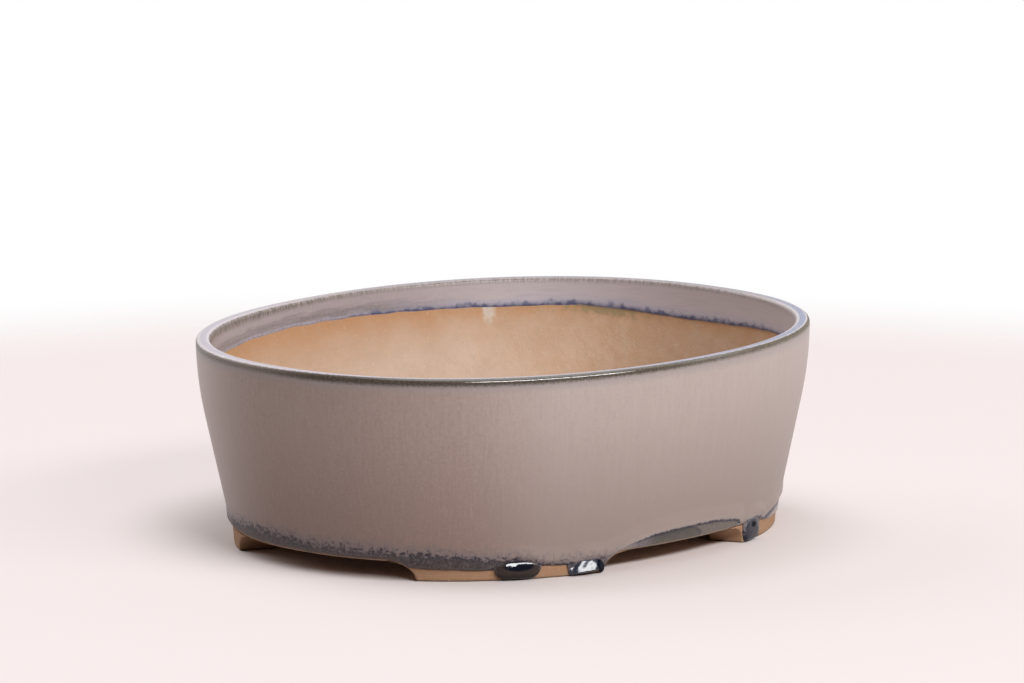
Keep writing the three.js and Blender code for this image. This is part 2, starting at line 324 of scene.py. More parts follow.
def studio_world():
    """White for the camera; for mirrored rays white on the far side; a dim soft dome for the rest. The
    far side is told by the cosine between a ray and the direction away from the camera's place."""
    world = bpy.data.worlds.new("studio")
    world.use_nodes = True
    tree = world.node_tree
    direction = tree.nodes.new("ShaderNodeVectorMath")
    direction.operation = "DOT_PRODUCT"
    feed(tree, direction.inputs[0], tree.nodes.new("ShaderNodeTexCoord").outputs["Generated"])
    direction.inputs[1].default_value = away
    far = direction.outputs["Value"]
    straight, mirrored = seen_rays(tree)
    backdrop = masked(tree, mirrored, fade(tree, far, white_from, white_full))
    sees_white = calculate(tree, "MAXIMUM", straight, backdrop)
    dome = fade(tree, far, dome_from, dome_full, dim_side, far_side)
    background = tree.nodes["Background"].inputs
    feed(tree, background["Strength"], calculate(tree, "MAXIMUM", sees_white, dome))
    background["Color"].default_value = (1, 1, 1, 1)
    return world


def soft_lamp(name, place, wide, tall, watts):
    """An area lamp that faces the pot from its place."""
    lamp = bpy.data.objects.new(name, bpy.data.lights.new(name, "AREA"))
    bpy.context.scene.collection.objects.link(lamp)
    lamp.data.shape = "RECTANGLE"
    lamp.data.size = wide
    lamp.data.size_y = tall
    lamp.data.energy = watts
    right, depth, height = place
    spot = right * toward_right + depth * away + height * upward
    lamp.location = spot
    steep = math.atan2(math.hypot(spot[0], spot[1]), spot[2])
    lamp.rotation_euler = (steep, 0, math.atan2(spot[0], -spot[1]))


bpy.context.scene.world = studio_world()
for lamp_name, lamp_setting in lamps.items():
    soft_lamp(lamp_name, *lamp_setting)
print(f"backdrop and {len(lamps)} lamps")

# %% [markdown]
# ## The wall's profile
# Seen from the side the wall is upright at the rim, then bends in on a large arc and goes on as a
# straight taper, and it is thinner at the rim than at the floor. The profile could be drawn by hand as a
# curve. A formula of the height can be asked for the inset anywhere, so clay and coat stay fitted.

# %% Formulas of the profile
wall_taper = math.radians(12)
foot_taper = math.radians(5.5)
rim_curve = 135.0
rim_thickness = 3.8
base_thickness = 6.0
lip_round = 1.4

curve_drop = rim_curve * math.sin(wall_taper)
lip_level = clay_top - lip_round


def soft_step(value, start, end):
    """0 before start, 1 after end, and a smooth S between them."""
    share = np.clip((value - start) / (end - start), 0, 1)
    return share**2 * (3 - 2 * share)


def quarter_round(distance, radius):
    """A quarter circle that rises from 0 at the start to 1 at the radius: the root of 1 - (1 - share)^2."""
    return np.sqrt(1 - (1 - np.clip(distance / radius, 0, 1)) ** 2)


def outside_inset(height):
    """How far the outside stands in from the rim's outline: a circular arc below the rim, then a taper
    that is steeper again on the feet."""
    drop = np.clip(pot_height - height, 0, None)
    arc = np.minimum(drop, curve_drop)
    on_foot = np.clip(foot_height - height, 0, None)
    taper = (drop - arc - on_foot) * math.tan(wall_taper) + on_foot * math.tan(foot_taper)
    return rim_curve - np.sqrt(rim_curve**2 - arc**2) + taper


def clay_inset(height):
    """The clay's outside lies under the coat."""
    return outside_inset(height) + coat_thickness


def inner_inset(height):
    """The clay's inside: the wall thickens evenly from the rim down to the floor."""
    share = (clay_top - height) / (clay_top - floor_top)
    return clay_inset(height) + rim_thickness + (base_thickness - rim_thickness) * share


print(f"wall leans in {outside_inset(foot_height):.1f} mm from rim to base")

# %% [markdown]
# ## The oval
# Seen from above the pot is a little squarer than an ellipse: a superellipse, where cosine and sine are
# raised to a power before they are multiplied by the half sizes. Spin would only give a round pot. With
# the oval as a formula, any piece is a short list of insets and heights carried round it, and the push
# and the lean that the maker's hands gave the pot reach every piece alike.

# %% Formulas of the oval
oval_power = 2.16
hand_slack = 0.16
push_at_base = 0.4
two_sided_start = 0.9
three_sided_start = 2.2
three_sided_share = 0.7
lean = 0.65
outline_points = 20001


def wander(angle, slowest, fastest, seed):
    """A closed wavy line between about -1 and 1: a sum of sines with whole numbers of waves round the
    oval, each with a random start, the slower ones larger. The seed picks the line."""
    waves = np.arange(slowest, fastest + 1)
    starts = np.random.default_rng(seed).uniform(0, 2 * np.pi, len(waves))
    sizes = 1 / np.sqrt(waves)
    sizes = sizes / np.sqrt(0.5 * np.sum(sizes**2)) / 2
    return np.sum(sizes * np.sin(np.multiply.outer(angle, waves) + starts), axis=-1)


def hand_push(angle, height):
    """How far the maker's hands moved the wall off the true oval: two slow waves that grow with height."""
    two_sided = np.sin(2 * angle + two_sided_start)
    three_sided = three_sided_share * np.sin(3 * angle + three_sided_start)
    growth = push_at_base + (1 - push_at_base) * height / pot_height
    return hand_slack * growth * (two_sided + three_sided)


def oval(angle, inset, height):
    """Points of the oval: each half size, less the inset, times cosine or sine raised to 2 / power and
    given its sign back. The three arrays are spread over each other to one grid. The hand-built pot
    leans a little: the lower a point is, the further it is moved to the right."""
    angle, inset, height = np.broadcast_arrays(angle, inset, height)
    across, along = np.cos(angle), np.sin(angle)
    inset = inset + hand_push(angle, height)
    x = np.sign(across) * np.abs(across) ** (2 / oval_power) * (half_length - inset)
    y = np.sign(along) * np.abs(along) ** (2 / oval_power) * (half_width - inset)
    shift = lean * (1 - height / pot_height)
    return np.stack([x + shift * toward_right[0], y + shift * toward_right[1], height], axis=-1)


def oval_angle(x, y, inset):
    """The angle whose point is (x, y): the oval's formula turned round."""
    across = np.sign(x) * np.abs(x / (half_length - inset)) ** (oval_power / 2)
    along = np.sign(y) * np.abs(y / (half_width - inset)) ** (oval_power / 2)
    return np.arctan2(along, across)


def even_angles(count, crowded_from=0.0, crowded_to=0.0, crowding=1.0):
    """Angles whose points lie evenly round the rim: the running length of a fine outline, read
    backwards. Between two angles they may crowd together, this many times as close."""
    fine = np.linspace(-np.pi, np.pi, outline_points)
    steps = np.linalg.norm(np.diff(oval(fine, 0.0, pot_height), axis=0), axis=1)
    crowded = (fine[1:] > crowded_from) & (fine[1:] < crowded_to)
    length = np.concatenate([[0], np.cumsum(steps * np.where(crowded, crowding, 1))])
    return np.interp(np.arange(count) / count * length[-1], length, fine)


ring_columns = 480
columns = even_angles(ring_columns)
print(f"{ring_columns} columns round the oval")

# %% [markdown]
# ## From a grid to a piece
# A surface that is worked out as a grid becomes a mesh by joining each point to its neighbours. A ring
# closes on itself both ways, like a bent tube. Blender could recalculate the normals afterwards, but
# adding up the enclosed volume is surer: if it comes out negative, the faces look inwards and they are
# all turned round.

# %% Helpers for meshes
def ring_faces(rows, columns, closed=True):
    """Four-cornered faces of a grid whose rows close on themselves, and its columns too unless it is a
    tube with open ends: each point, its right neighbour, and the two above."""
    row, column = np.meshgrid(np.arange(rows), np.arange(columns - (not closed)), indexing="ij")
    above, right = (row + 1) % rows * columns, (column + 1) % columns
    row = row * columns
    return np.stack([row + column, row + right, above + right, above + column], axis=-1).reshape(-1, 4)


def enclosed(points, faces):
    """Volume inside a closed mesh: the sum of the pyramids from the origin to each triangle, with sign."""
    total = 0.0
    for second in range(1, faces.shape[1] - 1):
        a, b, c = points[faces[:, 0]], points[faces[:, second]], points[faces[:, second + 1]]
        total += np.sum(a * np.cross(b, c)) / 6
    return total


def make_piece(name, points, face_sets, finish, nodes, marks):
    """A closed smooth piece in the pot's frame, made of points in millimetres. It rides on the pot,
    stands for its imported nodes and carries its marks, which are numbers or vectors on its points."""
    points = points.reshape(-1, 3)
    volume = sum(enclosed(points, faces) for faces in face_sets)
    turned = [faces if volume > 0 else faces[:, ::-1] for faces in face_sets]
    mesh = bpy.data.meshes.new(name)
    mesh.from_pydata((points * MM).tolist(), [], [face for faces in turned for face in faces.tolist()])
    mesh.shade_smooth()
    for title, values in marks.items():
        is_vector = values.size == points.size
        kind, field = ("FLOAT_VECTOR", "vector") if is_vector else ("FLOAT", "value")
        layer = mesh.attributes.new(title, kind, "POINT")
        layer.data.foreach_set(field, np.ascontiguousarray(values, dtype=np.float32).ravel())
    mesh.materials.append(finish)
    piece = bpy.data.objects.new(name, mesh)
    bpy.context.scene.collection.objects.link(piece)
    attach(piece, "root")
    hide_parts(*nodes)
    print(f"{name}: {len(mesh.polygons)} faces, {abs(volume) / 1000:.1f} cm3")


print("mesh helpers ready")

# %% [markdown]
# ## Bare clay
# Where no glaze lies the pot shows buff stoneware, sandy and dry. Near the glaze the fire flashed it
# orange, the feet are toasted darker and scraped by a tool, and inside the rim a little glaze spilled
# and stained it. A near-black painted shade darkens the lowest millimetre of each foot. A photograph of
# clay could be wrapped on, but it would stretch and repeat. So the colour comes from slow blotches and
# fine sand on Object coordinates, and from four marks that a piece may carry: the flash, the toast with
# the painted shade, the spill and the stain.

# %% Clay finish
buff_light = (0.60, 0.485, 0.408)
buff_dark = (0.55, 0.432, 0.350)
flashed_orange = (0.47, 0.252, 0.124)
toasted = (0.315, 0.178, 0.104)
# Near black: the painted shade at the soles of the feet
sole_shade = (0.13, 0.085, 0.058)
sand_dark = (0.34, 0.20, 0.12)
sand_pale = (0.80, 0.66, 0.55)
spilled_grey = (0.62, 0.60, 0.55)
stain_olive = (0.27, 0.21, 0.11)

# Blobs for each metre
blotches = 55
flash_clouds = 130
hollows = 180
smears = 500
grits = 1150
sands = 1500
tool_lines = (50, 50, 1500)

# Depths in metres
hollow_depth = 0.00045
tool_depth = 0.0002
sand_depth = 0.0001

smear_most = 0.25
dry_roughness = 0.88
spilled_roughness = 0.35
dry_gloss = 0.25


def bare_clay():
    """Two buffs mixed by slow clouds; orange by the flash; the toast's brown in tool lines; where the toast
    mark passes 1, at the feet's soles, a near-black painted shade over it; two sizes of sand; and the olive
    and grey spots where a little glaze stained or spilled."""
    finish, tree, shader = new_finish("bare_clay")
    place = own_place(tree)
    colour = blend(tree, fade(tree, cloud(tree, place, blotches, 4), 0.35, 0.68), buff_dark, buff_light)
    uneven = fade(tree, cloud(tree, place, flash_clouds, 4), cloud_low, cloud_high, 0.85, 1.05)
    flash = masked(tree, mark(tree, "flash"), uneven)
    colour = blend(tree, fade(tree, flash, 0, 1), colour, flashed_orange)
    tool = cloud(tree, stretch(tree, place, tool_lines), 1, 3, 0.6)
    toast_and_shade = mark(tree, "toast_and_shade")
    scraped = fade(tree, toast_and_shade, 0.45, 0.9)
    thinnest = fade(tree, scraped, 0, 1, 0.95, 0.8)
    lined = masked(tree, toast_and_shade, fade(tree, tool, cloud_low, cloud_high, thinnest, 1.05))
    colour = blend(tree, fade(tree, lined, 0, 1), colour, toasted)
    # Painted shade: where the toast mark passes 1, at the feet's soles, the clay turns near black
    colour = blend(tree, fade(tree, toast_and_shade, 1.0, 2.0), colour, sole_shade)
    sand = cloud(tree, place, sands, 2, 0.7)
    colour = blend(tree, fade(tree, sand, 0.60, 0.78, 0, 0.25), colour, sand_dark)
    grit = cloud(tree, place, grits, 1)
    colour = blend(tree, fade(tree, grit, 0.68, 0.80, 0, 0.28), colour, sand_pale)
    smear = cloud(tree, place, smears, 3)
    stain = fade(tree, roughened(tree, mark(tree, "stain"), smear, smear_most), 0.05, 0.8, 0, 0.8)
    colour = blend(tree, stain, colour, stain_olive)
    spill = fade(tree, roughened(tree, mark(tree, "spill"), smear, smear_most), 0.1, 1.0, 0, 0.56)
    colour = blend(tree, spill, colour, spilled_grey)
    feed(tree, shader.inputs["Base Color"], colour)
    feed(tree, shader.inputs["Roughness"], fade(tree, spill, 0, 0.85, dry_roughness, spilled_roughness))
    shader.inputs["Specular IOR Level"].default_value = dry_gloss
    pressed = masked(tree, cloud(tree, place, hollows, 3), fade(tree, toast_and_shade, 0, 0.8, 1, 0.3))
    relief = raised(tree, pressed, hollow_depth)
    relief = raised(tree, masked(tree, tool, scraped), tool_depth, relief)
    feed(tree, shader.inputs["Normal"], raised(tree, sand, sand_depth, relief))
    return finish


clay = bare_clay()
print("finish:", clay.name)

# %% [markdown]
# ## The fire's marks on the wall
# Inside the rim the fire left its marks below the edge of the glaze: an orange flash at one side, a pale
# spill with an olive eye, and a soft olive stain. They could be painted on by hand in Texture Paint. Here
# each is a formula of the distance from its middle, so it stays sharp at any size.

# %% Marks inside the wall
# Lower edge of the glaze inside, as angle in degrees and depth under the rim
inside_line = np.array([
    (-165, 10.4), (-120, 11.2), (-70, 10.2), (-19, 12.0), (-2, 13.0), (9, 13.0), (22, 11.4),
    (32, 10.2), (45, 10.7), (62, 10.3), (79, 9.6), (90, 9.3), (101, 9.6), (120, 10.8), (150, 11.6),
])
inside_wave = 0.18

flash_angle = math.radians(112)
flash_narrowness = 1.4
flash_least = 0.25
flash_fall = 3
flash_fall_orange = 12
flash_end = 0.55
flash_under = 0.05
toast_inside = 0.4
spill_angle = math.radians(52)
spill_half_width = 2.1
spill_core = 0.9
spill_sharpness = 6
spill_drop = 5.6
eye_share = 0.55
eye_drop = 1.4
eye_half_height = 1.1
stain_angle = math.radians(25)
stain_half_width = 15.0
stain_drop = 2.8


def along_line(line, angle):
    """Value of a listed line at each angle, joined straight between its points and round the oval."""
    return np.interp(np.degrees(angle), line[:, 0], line[:, 1], period=360)


def inside_edge(angle):
    """Height of the inside glaze's lower edge: the depths above, joined round the oval, and a fine wave."""
    return pot_height - along_line(inside_line, angle) + inside_wave * wander(angle, 18, 70, seed=1)


def spot_distance(points, angle):
    """Distance of each point, seen from above, from the inside of the rim at one angle."""
    middle = oval(angle, inner_inset(pot_height), pot_height)[:2]
    return np.linalg.norm(points[..., :2] - middle, axis=-1)


def wall_marks(points, height, is_inside):
    """The flash falls off below the glaze's edge, more slowly at its orange side, and the toast follows it.
    Spill and stain are bell curves of the distance aside and below, and the eye is a third one."""
    below = np.clip(inside_edge(columns) - height, 0, None)
    orange = soft_step(np.cos(columns - flash_angle), 0.0, 1.0) ** flash_narrowness
    fall = np.exp(-below / (flash_fall + flash_fall_orange * orange))
    flash = is_inside * (flash_least + (1 - flash_least) * orange) * fall + flash_under
    flash += is_inside * flash_end * soft_step(np.cos(columns), 0.2, 1.0)
    spill_away = spot_distance(points, spill_angle) / spill_half_width
    stain_away = spot_distance(points, stain_angle) / stain_half_width
    past_core = np.clip(spill_away - spill_core, 0, None) ** 2 * spill_sharpness
    stain = np.exp(-stain_away**2 - (below / stain_drop) ** 2)
    eye = np.exp(-(spill_away / eye_share) ** 2 - ((below - eye_drop) / eye_half_height) ** 2)
    return {
        "flash": flash,
        "toast_and_shade": toast_inside * is_inside * orange,
        "spill": is_inside * np.exp(-past_core - (below / spill_drop) ** 2),
        "stain": is_inside * (stain + eye),
    }


lowest_edge, highest_edge = np.min(inside_edge(columns)), np.max(inside_edge(columns))
print(f"glaze inside ends {lowest_edge:.1f} to {highest_edge:.1f} mm up")

# %% [markdown]
# ## The wall
# The wall is one band of clay, bent to the oval and luted to the floor. A curve with a bevel profile
# could be drawn round it, but the section changes its slant with the height. So the section is a closed
# loop of insets and heights, up the outside, over the round lip and down the inside, and the loop is
# carried round the oval. Below the inside glaze it shows bare clay, so its inner face gets the slow
# unevenness that fingers leave.

# %% Wall
lip_squareness = 0.6
finger_depth = 0.12
finger_pitch = 5.0
finger_sway = 1.7


def lip_arch(skin, share):
    """Half of a squarish ellipse over the rim, from outside to inside as share goes from 0 to 1, over
    the clay or over a skin on it. Gives inset and height."""
    middle = clay_inset(lip_level) + rim_thickness / 2
    half = rim_thickness / 2 + skin
    rise = lip_round + skin
    turn = np.pi * share
    across, up = np.cos(turn), np.sin(turn)
    inset = middle - half * np.sign(across) * np.abs(across) ** lip_squareness
    return inset, lip_level + rise * np.abs(up) ** lip_squareness


def bare_wall():
    """The wall's loop of insets and heights, carried round. Fingers press it by a wave round the oval
    times a sine of the height that sways."""
    up = np.linspace(floor_top, lip_level, 10, endpoint=False)
    arch_inset, arch_height = lip_arch(0.0, np.linspace(0, 1, 12, endpoint=False))
    down = np.linspace(lip_level, floor_top, 48)
    inset = np.concatenate([clay_inset(up), arch_inset, inner_inset(down)])[:, None]
    height = np.concatenate([up, arch_height, down])[:, None]
    is_inside = np.concatenate([0 * up, 0 * arch_height, 1 + 0 * down])[:, None]
    sway = np.sin(height / finger_pitch + finger_sway * np.sin(3 * columns))
    fingers = finger_depth * wander(columns, 9, 23, seed=2) * sway
    points = oval(columns, inset + is_inside * fingers, height)
    faces = ring_faces(len(inset), ring_columns)
    marks = wall_marks(points, height, is_inside)
    make_piece("bare_wall", points, [faces], clay, ["wall_ring"], marks)


bare_wall()

# %% [markdown]
# ## Holes in the floor
# The floor is a rolled slab with two drain holes and four holes for tie wires, their edges wiped soft
# with a sponge. Boolean cuts would leave long thin faces round each hole. A slab with holes is no simple
# grid, so its top and bottom are a net of even triangles between the outlines.

# %% Net between outlines
drain_diameter = 18.0
drain_spacing = 96.0
drain_corners = 56
wire_diameter = 6.5
wire_spacing = (56.0, 72.0)
wire_corners = 32
hole_soft = 1.0
net_spacing = 4.0
closest_points = 1e-6


def circle(middle, radius, count):
    """Points round a circle, anticlockwise, or round several circles where there are several radii."""
    turn = np.linspace(0, 2 * np.pi, count, endpoint=False)
    return np.asarray(middle) + np.multiply.outer(radius, np.stack([np.cos(turn), np.sin(turn)], axis=1))


def hole_places():
    """Middle, radius and corners of each hole: two drains on the long axis and four wire holes."""
    for side in (-1, 1):
        yield (side * drain_spacing / 2, 0.0), drain_diameter / 2, drain_corners
        for end in (-1, 1):
            yield (side * wire_spacing[0] / 2, end * wire_spacing[1] / 2), wire_diameter / 2, wire_corners


def net_between(outline, holes):
    """Triangles that fill an outline and leave its holes open, over an even net of points inside. Each
    hole is a loop of points, its middle and its radius. Gives points, faces and where each loop starts."""
    loops = [outline, *[loop for loop, middle, radius in holes]]
    reach = np.arange(-half_length, half_length, net_spacing)
    grid = np.stack(np.meshgrid(reach, reach), axis=-1).reshape(-1, 2)
    grid[:, 0] += np.where(np.round(grid[:, 1] / net_spacing) % 2 == 0, net_spacing / 2, 0)
    size = np.max(np.abs(outline), axis=0) - 1.5 * net_spacing
    keep = np.sum(np.abs(grid / size) ** oval_power, axis=1) < 1
    for loop, middle, radius in holes:
        keep &= np.linalg.norm(grid - middle, axis=1) > radius + 0.6 * net_spacing
    points = np.concatenate([*loops, grid[keep]])
    starts = np.cumsum([0] + [len(loop) for loop in loops])
    edges = [
        (start + step, start + (step + 1) % len(loop))
        for start, loop in zip(starts, loops)
        for step in range(len(loop))
    ]
    made = geometry.delaunay_2d_cdt([tuple(p) for p in points], edges, [], 2, closest_points)
    original = np.array([found[0] for found in made[3]])
    faces = original[np.array(made[2])]
    for loop, middle, radius in holes:
        faces = faces[np.linalg.norm(points[faces].mean(axis=1) - middle, axis=1) > radius]
    return points, faces, starts


print(f"{len(list(hole_places()))} holes in the floor")

# %% [markdown]
# ## The floor slab
# The slab is closed by strips: one round its outside and one down each hole. A Bevel modifier could
# round the edges, but it would also round the rim that the wall stands on. Each strip is a profile with
# soft corners carried along its outline, and its ends are the outlines of the two nets.

# %% Floor slab
slab_soft = 0.7
slab_rows = 7
slab_swell = 0.12
swell_lengths = (17, 13)
slab_sag = 0.1
sag_length = 29
near_top = 0.5
under_flash = 0.4
under_toast = 0.8
inside_flash = 0.1


def strip_faces(first, last, rows, filled):
    """Faces of a strip that climbs from a first loop of point numbers, over rows of new points that are
    counted on from those filled before, to a last loop."""
    new = filled + np.arange(rows * len(first)).reshape(rows, -1)
    ladder = np.concatenate([first[None], new, last[None]])
    lower, upper = ladder[:-1], ladder[1:]
    corner_numbers = [lower, np.roll(lower, -1, axis=1), np.roll(upper, -1, axis=1), upper]
    return np.stack(corner_numbers, axis=-1).reshape(-1, 4)


def slab_strips(height):
    """Points of the strips: the slab's outside, soft at its lower edge, and each hole, soft at both."""
    rim_soft = slab_soft * (1 - quarter_round(height - foot_height, slab_soft))
    yield oval(columns[::2], (clay_inset(height) + rim_soft)[:, None], height[:, None])
    to_face = np.minimum(height - foot_height, floor_top - height)
    widen = hole_soft * (1 - quarter_round(to_face, hole_soft))
    for middle, radius, count in hole_places():
        flat = circle(middle, radius + widen, count)
        level = np.broadcast_to(height[:, None, None], (*flat.shape[:2], 1))
        yield np.concatenate([flat, level], axis=-1)


def bare_floor():
    """Top and bottom nets, and the strips between their outlines. The top sags and swells by two slow
    waves, as a rolled slab does."""
    holes = [(circle(m, r + hole_soft, count), m, r + hole_soft) for m, r, count in hole_places()]
    bottom_rim = oval(columns[::2], clay_inset(foot_height) + slab_soft, foot_height)[:, :2]
    top_rim = oval(columns[::2], clay_inset(floor_top), floor_top)[:, :2]
    bottom, bottom_faces, starts = net_between(bottom_rim, holes)
    top, top_faces, _ = net_between(top_rim, holes)
    swell = np.sin(top[:, 0] / swell_lengths[0]) * np.sin(top[:, 1] / swell_lengths[1] + 1)
    swell = slab_swell * swell + slab_sag * np.sin(top.sum(axis=1) / sag_length)
    off_outlines = np.arange(len(top)) >= starts[-1]
    points = [
        np.column_stack([bottom, np.full(len(bottom), foot_height)]),
        np.column_stack([top, floor_top + swell * off_outlines]),
    ]
    quads = []
    filled = len(bottom) + len(top)
    share = np.linspace(0, 1, slab_rows + 2)[1:-1]
    strips = slab_strips(foot_height + (floor_top - foot_height) * share)
    for start, strip in zip(starts, strips):
        loop = start + np.arange(strip.shape[1])
        quads.append(strip_faces(loop, len(bottom) + loop, slab_rows, filled))
        points.append(strip.reshape(-1, 3))
        filled += len(points[-1])
    points = np.concatenate(points)
    triangles = np.concatenate([bottom_faces[:, ::-1], len(bottom) + top_faces])
    faces = [np.concatenate(quads), triangles]
    is_under = points[:, 2] < floor_top - near_top
    marks = {
        "flash": np.where(is_under, under_flash, inside_flash),
        "toast_and_shade": np.where(is_under, under_toast, 0.0),
    }
    make_piece("bare_floor", points, faces, clay, ["floor_slab"], marks)


bare_floor()

# %% [markdown]
# ## The coil in the corner
# A thin roll of clay is pressed into the corner between wall and floor and smoothed with a finger. A
# beveled curve would make a round roll. The smoothed one has a hollow section: a curve of three control
# points, from the wall to the floor, bent towards the corner. Its size swells and shrinks along the way
# with the finger's strokes.

# %% Corner coil
coil_size = coil_high[2] - coil_low[2]
coil_bend = 0.9
coil_sunk = 0.25
coil_flash = 0.12
stroke_swell = 0.10
press_swell = 0.06


def bare_coil():
    """A quadratic curve from the wall to the floor, closed by one row under the clay's faces."""
    strokes = stroke_swell * wander(columns, 34, 46, seed=3)
    size = coil_size * (1 + strokes + press_swell * wander(columns, 3, 7, seed=4))
    share = np.linspace(0, 1, 15)[:, None]
    corner_inset, corner_height = inner_inset(floor_top) - coil_sunk, floor_top - coil_sunk
    start_inset, start_height = inner_inset(floor_top + size) - coil_sunk, floor_top + size
    bend_inset, bend_height = inner_inset(floor_top) + coil_bend, floor_top + coil_bend
    end_inset, end_height = inner_inset(floor_top) + size, corner_height
    mix_start, mix_bend, mix_end = (1 - share) ** 2, 2 * share * (1 - share), share**2
    inset = mix_start * start_inset + mix_bend * bend_inset + mix_end * end_inset
    height = mix_start * start_height + mix_bend * bend_height + mix_end * end_height
    inset = np.concatenate([inset, np.full((1, ring_columns), corner_inset)])
    height = np.concatenate([height, np.full((1, ring_columns), corner_height)])
    points = oval(columns, inset, height)
    faces = ring_faces(len(inset), ring_columns)
    marks = {"flash": np.full(points.shape[:2], coil_flash)}
    make_piece("bare_coil", points, [faces], clay, ["corner_coil"], marks)


bare_coil()

# %% [markdown]
# ## Where the feet stand
# The feet leave a gap at each end of the pot and one at each side. The gaps are measured straight across,
# and a foot follows the oval, so the oval's formula is turned round to find the angles where a foot
# starts and ends. A ruler in the viewport would do for one size of pot only.

# %% Places of the feet
end_gap = 86.0
side_gap = 76.0

foot_start = math.asin((end_gap / 2 / (half_width - clay_inset(0))) ** (oval_power / 2))
foot_end = math.acos((side_gap / 2 / (half_length - clay_inset(0))) ** (oval_power / 2))


def outline_rate(angle):
    """Millimetres of outline for each radian at foot level."""
    step = 1e-3
    ends = oval(np.array([angle - step, angle + step]), clay_inset(0), 0.0)
    return np.linalg.norm(ends[1] - ends[0]) / (2 * step)


start_rate = outline_rate(foot_start)
end_rate = outline_rate(foot_end)
print(f"each foot from {math.degrees(foot_start):.1f} to {math.degrees(foot_end):.1f} degrees")

# %% [markdown]
# ## The feet
# Each foot is a curved block that follows the oval, cut with a hollow cove at both ends. A cube could be
# bent by a Curve modifier, but the cove is easier to say than to bend: the foot reaches further towards
# its top. So three shares, along the foot, through its thickness and up, give a point, and only the
# points on the block's six sides are kept.

# %% Feet
cove_run = 10.5
foot_thickness = 13.0
foot_soft = 0.45
foot_flash = 0.5
# The sole's painted shade: each foot darkens to near black over its lowest millimetre, where it meets the
# floor. A toast above 1 reaches into that shade.
sole_shade_amount = 1.0
foot_toast = {
    "foot_front_left": 1.0,
    "foot_front_right": 0.95,
    "foot_back_left": 1.1,
    "foot_back_right": 1.1,
}


def sheet_faces(sheet):
    """Four-cornered faces between neighbours on a sheet of point numbers."""
    corner_numbers = [sheet[:-1, :-1], sheet[1:, :-1], sheet[1:, 1:], sheet[:-1, 1:]]
    return np.stack(corner_numbers, axis=-1).reshape(-1, 4)


def block_faces(sizes):
    """Faces on the six sides of a block of points, counted along, through and up."""
    numbers = np.arange(np.prod(sizes)).reshape(sizes)
    low = [numbers[0].T, numbers[:, 0], numbers[:, :, 0].T]
    high = [numbers[-1], numbers[:, -1].T, numbers[:, :, -1]]
    return np.concatenate([sheet_faces(sheet) for sheet in low + high])


def bare_foot(name, sign_x, sign_y):
    """The bent block. At a height the foot reaches cove_run * (1 - sqrt(1 - (height / foot height)^2))
    past its ends, and the lowest edges are drawn in by a quarter round."""
    soft_rows = foot_soft * (1 - np.cos(np.linspace(0, np.pi / 2, 5)))
    straight_rows = np.linspace(foot_soft, foot_height, 14)[1:]
    height = np.concatenate([soft_rows, straight_rows])[None, None, :]
    along = np.linspace(0, 1, 72)[:, None, None]
    through = np.linspace(0, 1, 12)[None, :, None]
    reach = cove_run * (1 - np.sqrt(np.clip(1 - (height / foot_height) ** 2, 0, 1)))
    drawn_in = foot_soft * (1 - quarter_round(height, foot_soft))
    first = foot_start - (reach - drawn_in) / start_rate
    last = foot_end + (reach - drawn_in) / end_rate
    angle = first + (last - first) * along
    angle = np.arctan2(sign_y * np.sin(angle), sign_x * np.cos(angle))
    outer = clay_inset(height) + drawn_in
    inner = clay_inset(0) + foot_thickness - drawn_in
    points = oval(angle, outer + (inner - outer) * through, height)
    used, faces = np.unique(block_faces(points.shape[:3]), return_inverse=True)
    points = points.reshape(-1, 3)[used]
    marks = {
        "flash": np.full(len(points), foot_flash),
        # Painted shade at the sole, added on top of the toast
        "toast_and_shade": foot_toast[name] + sole_shade_amount * soft_step(points[:, 2], 1.0, 0.1),
    }
    title = name.replace("foot", "bare_foot")
    make_piece(title, points, [faces.reshape(-1, 4)], clay, [name], marks)


for foot_name in foot_toast:
    bare_foot(foot_name, 1 if "right" in foot_name else -1, 1 if "back" in foot_name else -1)

# %% [markdown]
# ## Where the glaze went
# In the fire the coat melted and crept down. Its lower edge stops just above the floor's edge, and only
# on the two front feet it ran on half way down. In three places it ran to the ground in a drip. Above
# the edge it pooled dark, in a band of uneven height, and in two places a thin shiny lens shows. A fluid
# simulation would let it run to other places. These lines are short lists of angle and height, joined
# round the oval.

# %% Lines of the glaze
edge_line = np.array([
    (-180, 7.5), (-165, 7.4), (-158, 7.5), (-153, 4.8), (-145, 4.3), (-136, 3.8), (-128, 4.4),
    (-122, 4.6), (-117, 4.3), (-112, 3.0), (-109.5, 0.3), (-104.5, 6.0), (-102, 7.2), (-90, 7.3),
    (-71, 7.4), (-64, 6.6), (-61.5, 5.7), (-57, 5.0), (-50, 4.4), (-44, 4.2), (-38, 5.0), (-31, 7.3),
    (-20, 7.7), (20, 7.6), (60, 7.9), (100, 7.5), (140, 8.0), (152, 8.5), (161, 7.9), (169, 7.6),
])
band_line = np.array([
    (-177, 11.5), (-168, 11.6), (-159, 11.0), (-155, 10.6), (-145, 10.0), (-139, 8.8), (-135, 8.2),
    (-132, 8.0), (-128, 7.6), (-122, 5.4), (-112, 4.6), (-106, 5.4), (-100, 5.8), (-63, 5.8), (-45, 6.0),
    (-36, 8.4), (-28, 12.4), (-5, 11.0), (25, 12.6), (48, 9.8), (70, 12.0), (95, 11.0), (120, 13.4),
    (150, 12.5), (172, 13.0),
])
